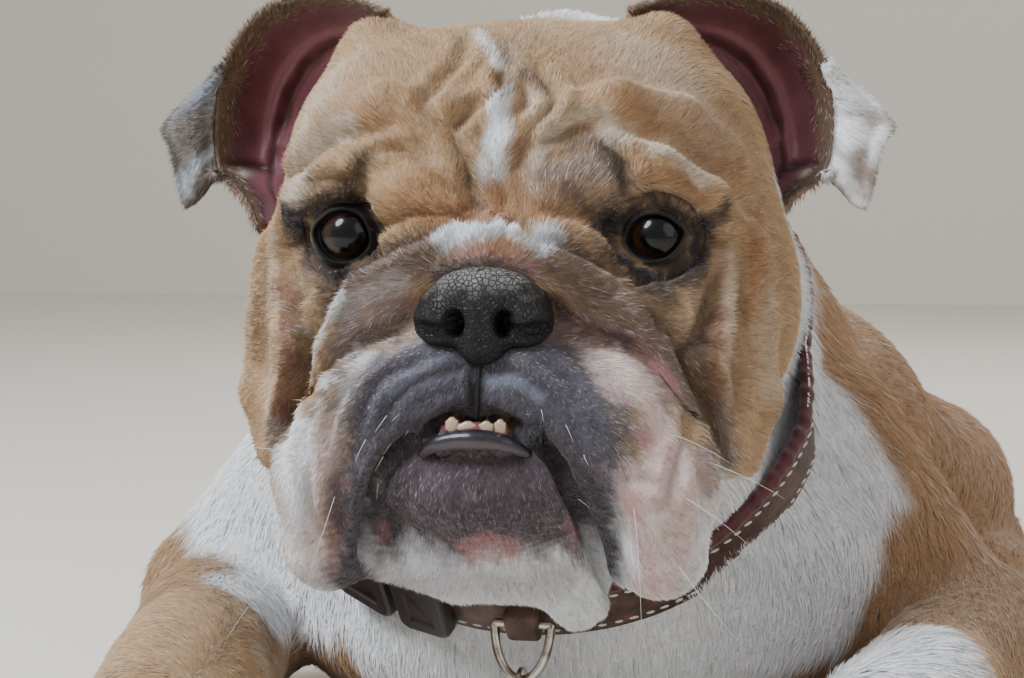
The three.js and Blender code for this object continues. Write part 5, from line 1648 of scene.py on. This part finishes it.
def strap_section(angle, turn):
    across = -2.4 + 9.9 * rounded(np.cos(turn), 0.5)
    height = 3.2 + 1.3 * rounded(np.sin(turn), 0.5)
    for row in STITCH_ROWS:
        height -= 0.5 * ridge(across, row, 1.2) * (np.sin(turn) > 0)
    return height - sunk(angle), across


def lining_section(angle, turn):
    pucker = 1 + 0.07 * np.sin(angle * 104 + 3 * np.sin(angle * 7)) + 0.08 * np.sin(angle * 61 + 2)
    return 1.8 + 2.9 * pucker * np.sin(turn) - sunk(angle), 9.3 + 3.1 * pucker * np.cos(turn)


def piping_section(angle, turn):
    return 2.6 + 1.5 * np.sin(turn) - sunk(angle), -11.6 + 1.3 * np.cos(turn)


strap_finish = Finish("strap leather", 0.42, 0.4, Coat_Weight=0.15, Coat_Roughness=0.35)
strap_wear = [(0.35, linear(52, 32, 28)), (0.7, linear(92, 62, 52))]
strap_finish.colour(strap_finish.ramp(strap_finish.noise(140, 5), strap_wear))
strap_finish.bump(strap_finish.cells(1500), 0.0003, 0.5)
strap_finish.bump(strap_finish.noise(260, 4), 0.0005, 0.4)
lining_finish = Finish("burgundy lining", 0.55, 0.35, Sheen_Weight=0.2)
lining_finish.colour(lining_finish.mix(lining_finish.noise(220), linear(52, 16, 22), linear(92, 32, 38)))
lining_finish.bump(lining_finish.noise(900, 4), 0.0004, 0.5)
piping_finish = Finish("black piping", 0.5, 0.4)
piping_finish.colour(linear(30, 20, 20))
band("collar_strap", strap_section, strap_finish, "collar_leather", "collar")
band("collar_lining", lining_section, lining_finish, "collar_leather")
band("collar_piping", piping_section, piping_finish, "collar_leather")

# The stitches, thick white thread: one small lozenge, repeated along both rows.
STITCH_PITCH = 5.2
STITCH_HEIGHT = 4.15
STITCH_SIZE = np.array([1.75, 0.62, 0.5])
bm = bmesh.new()
bmesh.ops.create_uvsphere(bm, u_segments=8, v_segments=6, radius=1.0)
stitch_ball = corners_of(bm.verts)[:, [2, 0, 1]]
bmesh.ops.triangulate(bm, faces=bm.faces)
stitch_faces = np.array([[vertex.index for vertex in face.verts] for face in bm.faces])
bm.free()
stitch_count = int(2 * math.pi * strap_radii.mean() / STITCH_PITCH)
stitch_points = []
for row in STITCH_ROWS:
    for k in range(stitch_count):
        angle = (k + random.uniform(-0.08, 0.08)) / stitch_count * 2 * math.pi
        frame_ways, _ = strap_frame(angle)
        at = on_strap(angle, STITCH_HEIGHT - sunk(angle), row)[0]
        size = STITCH_SIZE * [random.uniform(0.9, 1.1), 1, 1]
        stitch_points.append(at + stitch_ball * size @ frame_ways)
stitch_total = len(stitch_points)
all_faces = (np.arange(stitch_total)[:, None, None] * len(stitch_ball) + stitch_faces).reshape(-1, 3)
stitch_finish = Finish("white thread", 0.7, 0.3)
stitch_grime = stitch_finish.noise(300)
stitch_finish.colour(stitch_finish.mix(stitch_grime, linear(176, 166, 152), linear(222, 216, 204)))
stitch_mesh = outward(made_mesh("collar_stitches", metres(np.vstack(stitch_points)), all_faces))
shown("collar_stitches", stitch_mesh, stitch_finish, "collar_leather")

# The buckle: a side-release clasp moulded in dark brown plastic. Its body and tongue stand on the
# strap, and a leather keeper sewn to the strap holds the ring.
BUCKLE_ANGLE = -0.52
TONGUE_AWAY = 28
RING_ANGLE = 0.02
BLOCK_LIFT = 4.9


def block(name, size, corner, rim, angle, finish, slot, node, panel=0.0):
    width, height, depth = size
    bm = bmesh.new()
    bmesh.ops.create_cube(bm, size=1.0, matrix=Matrix.Diagonal((width, height, depth, 1)))
    upright = [edge for edge in bm.edges if abs(edge.verts[0].co.z - edge.verts[1].co.z) > depth / 2]
    bmesh.ops.bevel(bm, geom=upright, offset=corner, offset_type="OFFSET", segments=8, profile=0.5,
                    affect="EDGES", material=-1)
    caps = [face for face in bm.faces if abs(face.normal.z) > 0.9]
    bmesh.ops.bevel(bm, geom=list({edge for face in caps for edge in face.edges}), offset=rim,
                    offset_type="OFFSET", segments=4, profile=0.5, affect="EDGES", material=-1)
    if panel:
        top = max(bm.faces, key=lambda face: face.calc_center_median().z + face.normal.z)
        bmesh.ops.inset_region(bm, faces=[top], thickness=panel, depth=0)
        bmesh.ops.inset_region(bm, faces=[top], thickness=0.7, depth=-0.9)
    ways, at = strap_frame(angle)
    local = corners_of(bm.verts) + [0, 0, BLOCK_LIFT + depth / 2]
    move(bm.verts, metres(at + local @ ways))
    shown(name, from_bmesh(name, bm), finish, slot, node, smooth=False)


buckle_finish = Finish("moulded plastic", 0.38, 0.45)
buckle_finish.colour(buckle_finish.mix(buckle_finish.noise(90), linear(34, 26, 26), linear(52, 40, 38)))
buckle_finish.bump(buckle_finish.noise(1800), 0.0002, 0.3)
block("buckle_shell", (30, 32, 9), 6, 2.2, BUCKLE_ANGLE, buckle_finish, "buckle_plastic", "buckle_body", 4)
buckle_step = BUCKLE_ANGLE / (2 * math.pi) % 1 * STRAP_STEPS
tongue_angle = BUCKLE_ANGLE + TONGUE_AWAY / np.interp(buckle_step, np.arange(STRAP_STEPS), strap_radii)
block("buckle_prongs", (22, 28, 7), 5, 2.0, tongue_angle, buckle_finish, "buckle_plastic",
      "buckle_tongue", 3.5)
block("keeper_leather", (13, 14, 7), 2.5, 2.2, RING_ANGLE, strap_finish, "collar_leather", "ring_keeper")

# The rings: a nickel D for the lead, and a split ring of two turns of wire with the tag on it.
RING_DOWN = unit(np.array([0, -0.12, -1.0]))
ring_top = on_strap(RING_ANGLE, 8.5, 0)[0]
metal_finish = Finish("worn nickel", 0.24, 0.5, Metallic=1.0)
metal_rust = [(0.45, linear(196, 190, 180)), (0.75, linear(120, 88, 62))]
metal_finish.colour(metal_finish.ramp(metal_finish.noise(160, 4), metal_rust))
metal_finish.bump(metal_finish.noise(900), 0.0002, 0.3)
ACROSS = [1, 0, 0]


def wire(name, path, radius, closed, *nodes):
    tube_piece(name, metres(path), radius * MM, 14, metal_finish, "ring_metal", *nodes, closed=closed)


turn = np.arange(96) / 96 * 2 * math.pi
drop = np.maximum(-np.sin(turn), 0) * 20
lead_path = ring_top + np.outer(np.cos(turn) * 10.5, ACROSS) + np.outer(drop, RING_DOWN)
wire("lead_ring", lead_path, 1.7, True, "d_ring")
SPLIT_RADIUS = 7.5
SPLIT_HALF = 0.62
SPLIT_DROP = 23.4
split_middle = ring_top + RING_DOWN * SPLIT_DROP
turn = np.linspace(0, 4 * math.pi, 140)
split_path = split_middle + np.outer(np.sin(turn), RING_DOWN) * SPLIT_RADIUS
split_path = split_path + np.outer(np.linspace(-SPLIT_HALF, SPLIT_HALF, 140), ACROSS)
split_path += np.outer(np.cos(turn), np.cross(RING_DOWN, ACROSS)) * SPLIT_RADIUS
wire("split_ring_wire", split_path, 0.6, False, "split_ring")

# The tag: a small round disc with a raised nickel rim, pink enamel and a circle of pale stones.
TAG_RADIUS = 10.5
STONES = 18
STONE_CIRCLE = 8.1
TAG_DROP = 12.3
tag_eye = split_middle + RING_DOWN * SPLIT_RADIUS
tag_middle = tag_eye + RING_DOWN * TAG_DROP
turn = np.arange(32) / 32 * 2 * math.pi
wire("tag_eye", tag_eye + np.column_stack([np.cos(turn), 0 * turn, np.sin(turn)]) * 2.8, 0.95, True)


def disc(name, profile, finish, slot, *nodes):
    turn = np.arange(64) / 64 * 2 * math.pi
    profile = np.array(profile)
    at = np.stack([np.outer(np.cos(turn), profile[:, 0]), np.tile(profile[:, 1], (64, 1)),
                   np.outer(np.sin(turn), profile[:, 0])], -1).reshape(-1, 3)
    mesh = outward(made_mesh(name, metres(at + tag_middle), ring_faces(64, len(profile))))
    shown(name, mesh, finish, slot, *nodes)


enamel_finish = Finish("pink enamel", 0.15, 0.5, Coat_Weight=0.8, Coat_Roughness=0.05)
enamel_depth = enamel_finish.noise(300)
enamel_finish.colour(enamel_finish.mix(enamel_depth, linear(214, 140, 156), linear(236, 178, 186)))
stone_finish = Finish("pale stones", 0.08, 0.8, Coat_Weight=0.6, Coat_Roughness=0.03)
stone_finish.colour(linear(226, 226, 236))
disc("tag_rim", [(6.6, 1.2), (TAG_RADIUS - 0.4, 1.2), (TAG_RADIUS, 0.8), (TAG_RADIUS, -0.8), (10.2, -1.2),
                 (9.6, -1.2), (9.3, -0.9), (6.9, -0.9), (6.6, -1.1)], metal_finish, "tag_enamel", "tag")
disc("tag_face", [(0.02, -0.9), (6.7, -0.9), (6.7, 1.1), (0.02, 1.1)], enamel_finish, "tag_enamel")
bm = bmesh.new()
for k in range(STONES):
    angle = k / STONES * 2 * math.pi
    at = tag_middle + np.array([math.cos(angle) * STONE_CIRCLE, -1.1, math.sin(angle) * STONE_CIRCLE])
    place = Matrix.Translation(metres(at)) @ Matrix.Diagonal((0.0012, 0.0009, 0.0012, 1))
    bmesh.ops.create_icosphere(bm, subdivisions=1, radius=1.0, matrix=place)
shown("tag_stones", from_bmesh("tag_stones", bm), stone_finish, "tag_enamel", smooth=False)

# The claws: dark curved horn at the tip of each toe, blunt from wear.
claw_finish = Finish("claw horn", 0.32, 0.5)
claw_finish.colour(claw_finish.mix(claw_finish.noise(240, 4), linear(48, 40, 36), linear(108, 94, 82)))
for paw in PAWS:
    bm = bmesh.new()
    for toe in range(4):
        _, tip, out = toe_line(paw, toe)
        t = np.linspace(0, 1, 14)
        path = tip + out * 9 + np.outer(t * 14.6, out) - np.outer(5 * t * t, [0, 0, 1])
        tube(bm, metres(path), 0.0035 * np.sqrt(np.clip(1 - t ** 1.7, 0.02, 1)), 12)
    nodes = [f"claw_{paw}_{toe + 1}" for toe in range(4)]
    shown(f"claws_{paw}", from_bmesh(f"claws_{paw}", bm), claw_finish, "claw_horn", *nodes)

# Whiskers on the flews and cheeks, and short curled white hairs along the upper lip.
WHISKERS = [(-66, -84), (-64, -106), (-72, -72), (-50, -86),
            (66, -84), (64, -108), (74, -74), (50, -88), (62, -64)]
LIP_HAIRS = [(-16, -56), (-22, -60), (-28, -64), (-33, -72), (-25, -56), (-36, -82), (-38, -66), (-31, -58),
             (12, -56), (18, -60), (24, -66), (29, -76), (20, -55), (31, -86), (34, -70), (28, -60)]
whisker_finish = Finish("whisker", 0.35, 0.5)
whisker_finish.colour(linear(232, 228, 222))


def stiff_hairs(name, places, lengths, radius, droop, curl):
    bm = bmesh.new()
    roots = on_face(places, -1.0)
    _, out = outside(from_head(roots))
    for root, way in zip(from_head(roots), out):
        side = 1 if root[0] > EYES_MID[0] else -1
        way = unit(way + [side * random.uniform(0.3, 0.9), 0.3, random.uniform(-0.9, -0.1)])
        bend = np.array([side * random.uniform(-0.2, curl), 0, random.uniform(-1, 0.3 * curl)]) * droop
        t = np.linspace(0, 1, 12)[:, None]
        path = root + (way * t + bend * t * t) * random.uniform(*lengths)
        path[:, 2] = np.maximum(path[:, 2], 1.0)
        tube(bm, metres(path), radius * MM * np.linspace(1, 0.25, 12), 5)
    shown(name, from_bmesh(name, bm), whisker_finish, "white_coat")


stiff_hairs("whiskers", WHISKERS, (20, 40), 0.10, 0.35, 0.4)
stiff_hairs("lip_hairs", LIP_HAIRS, (3, 6), 0.11, 0.9, 1.0)

# The ruff: neck hair that lies back over the strap, except under the throat. It is longest by the
# strap and has the coat's own markings.
RUFF_HAIRS = 25000
ruff_angle = random.uniform(1.25, 2 * math.pi - 0.95, RUFF_HAIRS)
ruff_across = random.uniform(-10, 34, RUFF_HAIRS)
ruff_high = 3.0 - sunk(ruff_angle)
ruff_roots = on_strap(ruff_angle, ruff_high, ruff_across)
ruff_ahead = ruff_across > 13
ruff_roots[ruff_ahead] = settled(ruff_roots[ruff_ahead], -5, 4)
ruff_out = out_from_collar(ruff_angle)
ruff_ways = along_skin(unit(-STRAP_AXIS + random.normal(0, 0.13, (RUFF_HAIRS, 3))), ruff_out)
ruff_lift = np.interp(ruff_across, [0, 13, 20, 34], [6, 16, 34, 40]) + random.uniform(-3, 5, RUFF_HAIRS)
ruff_colour = marked(ruff_roots)[:, :3] * random.uniform(0.75, 1.05, RUFF_HAIRS)[:, None]
ruff_lengths = random.uniform(13, 20, RUFF_HAIRS) * np.interp(ruff_across, [18, 34], [1, 0.45])
ruff_patches = np.column_stack([ruff_angle / (2 * math.pi), (ruff_across + 20) / 40])
ruff_widths = random.uniform(0.5, 0.8, RUFF_HAIRS)
ruff_mesh = spikes("coat_ruff", ruff_roots, ruff_out, ruff_ways, ruff_lengths, ruff_widths, ruff_lift,
                   ruff_colour * 0.85, ruff_colour, ruff_patches)
shown("coat_ruff", ruff_mesh, coat_finish, "white_coat")
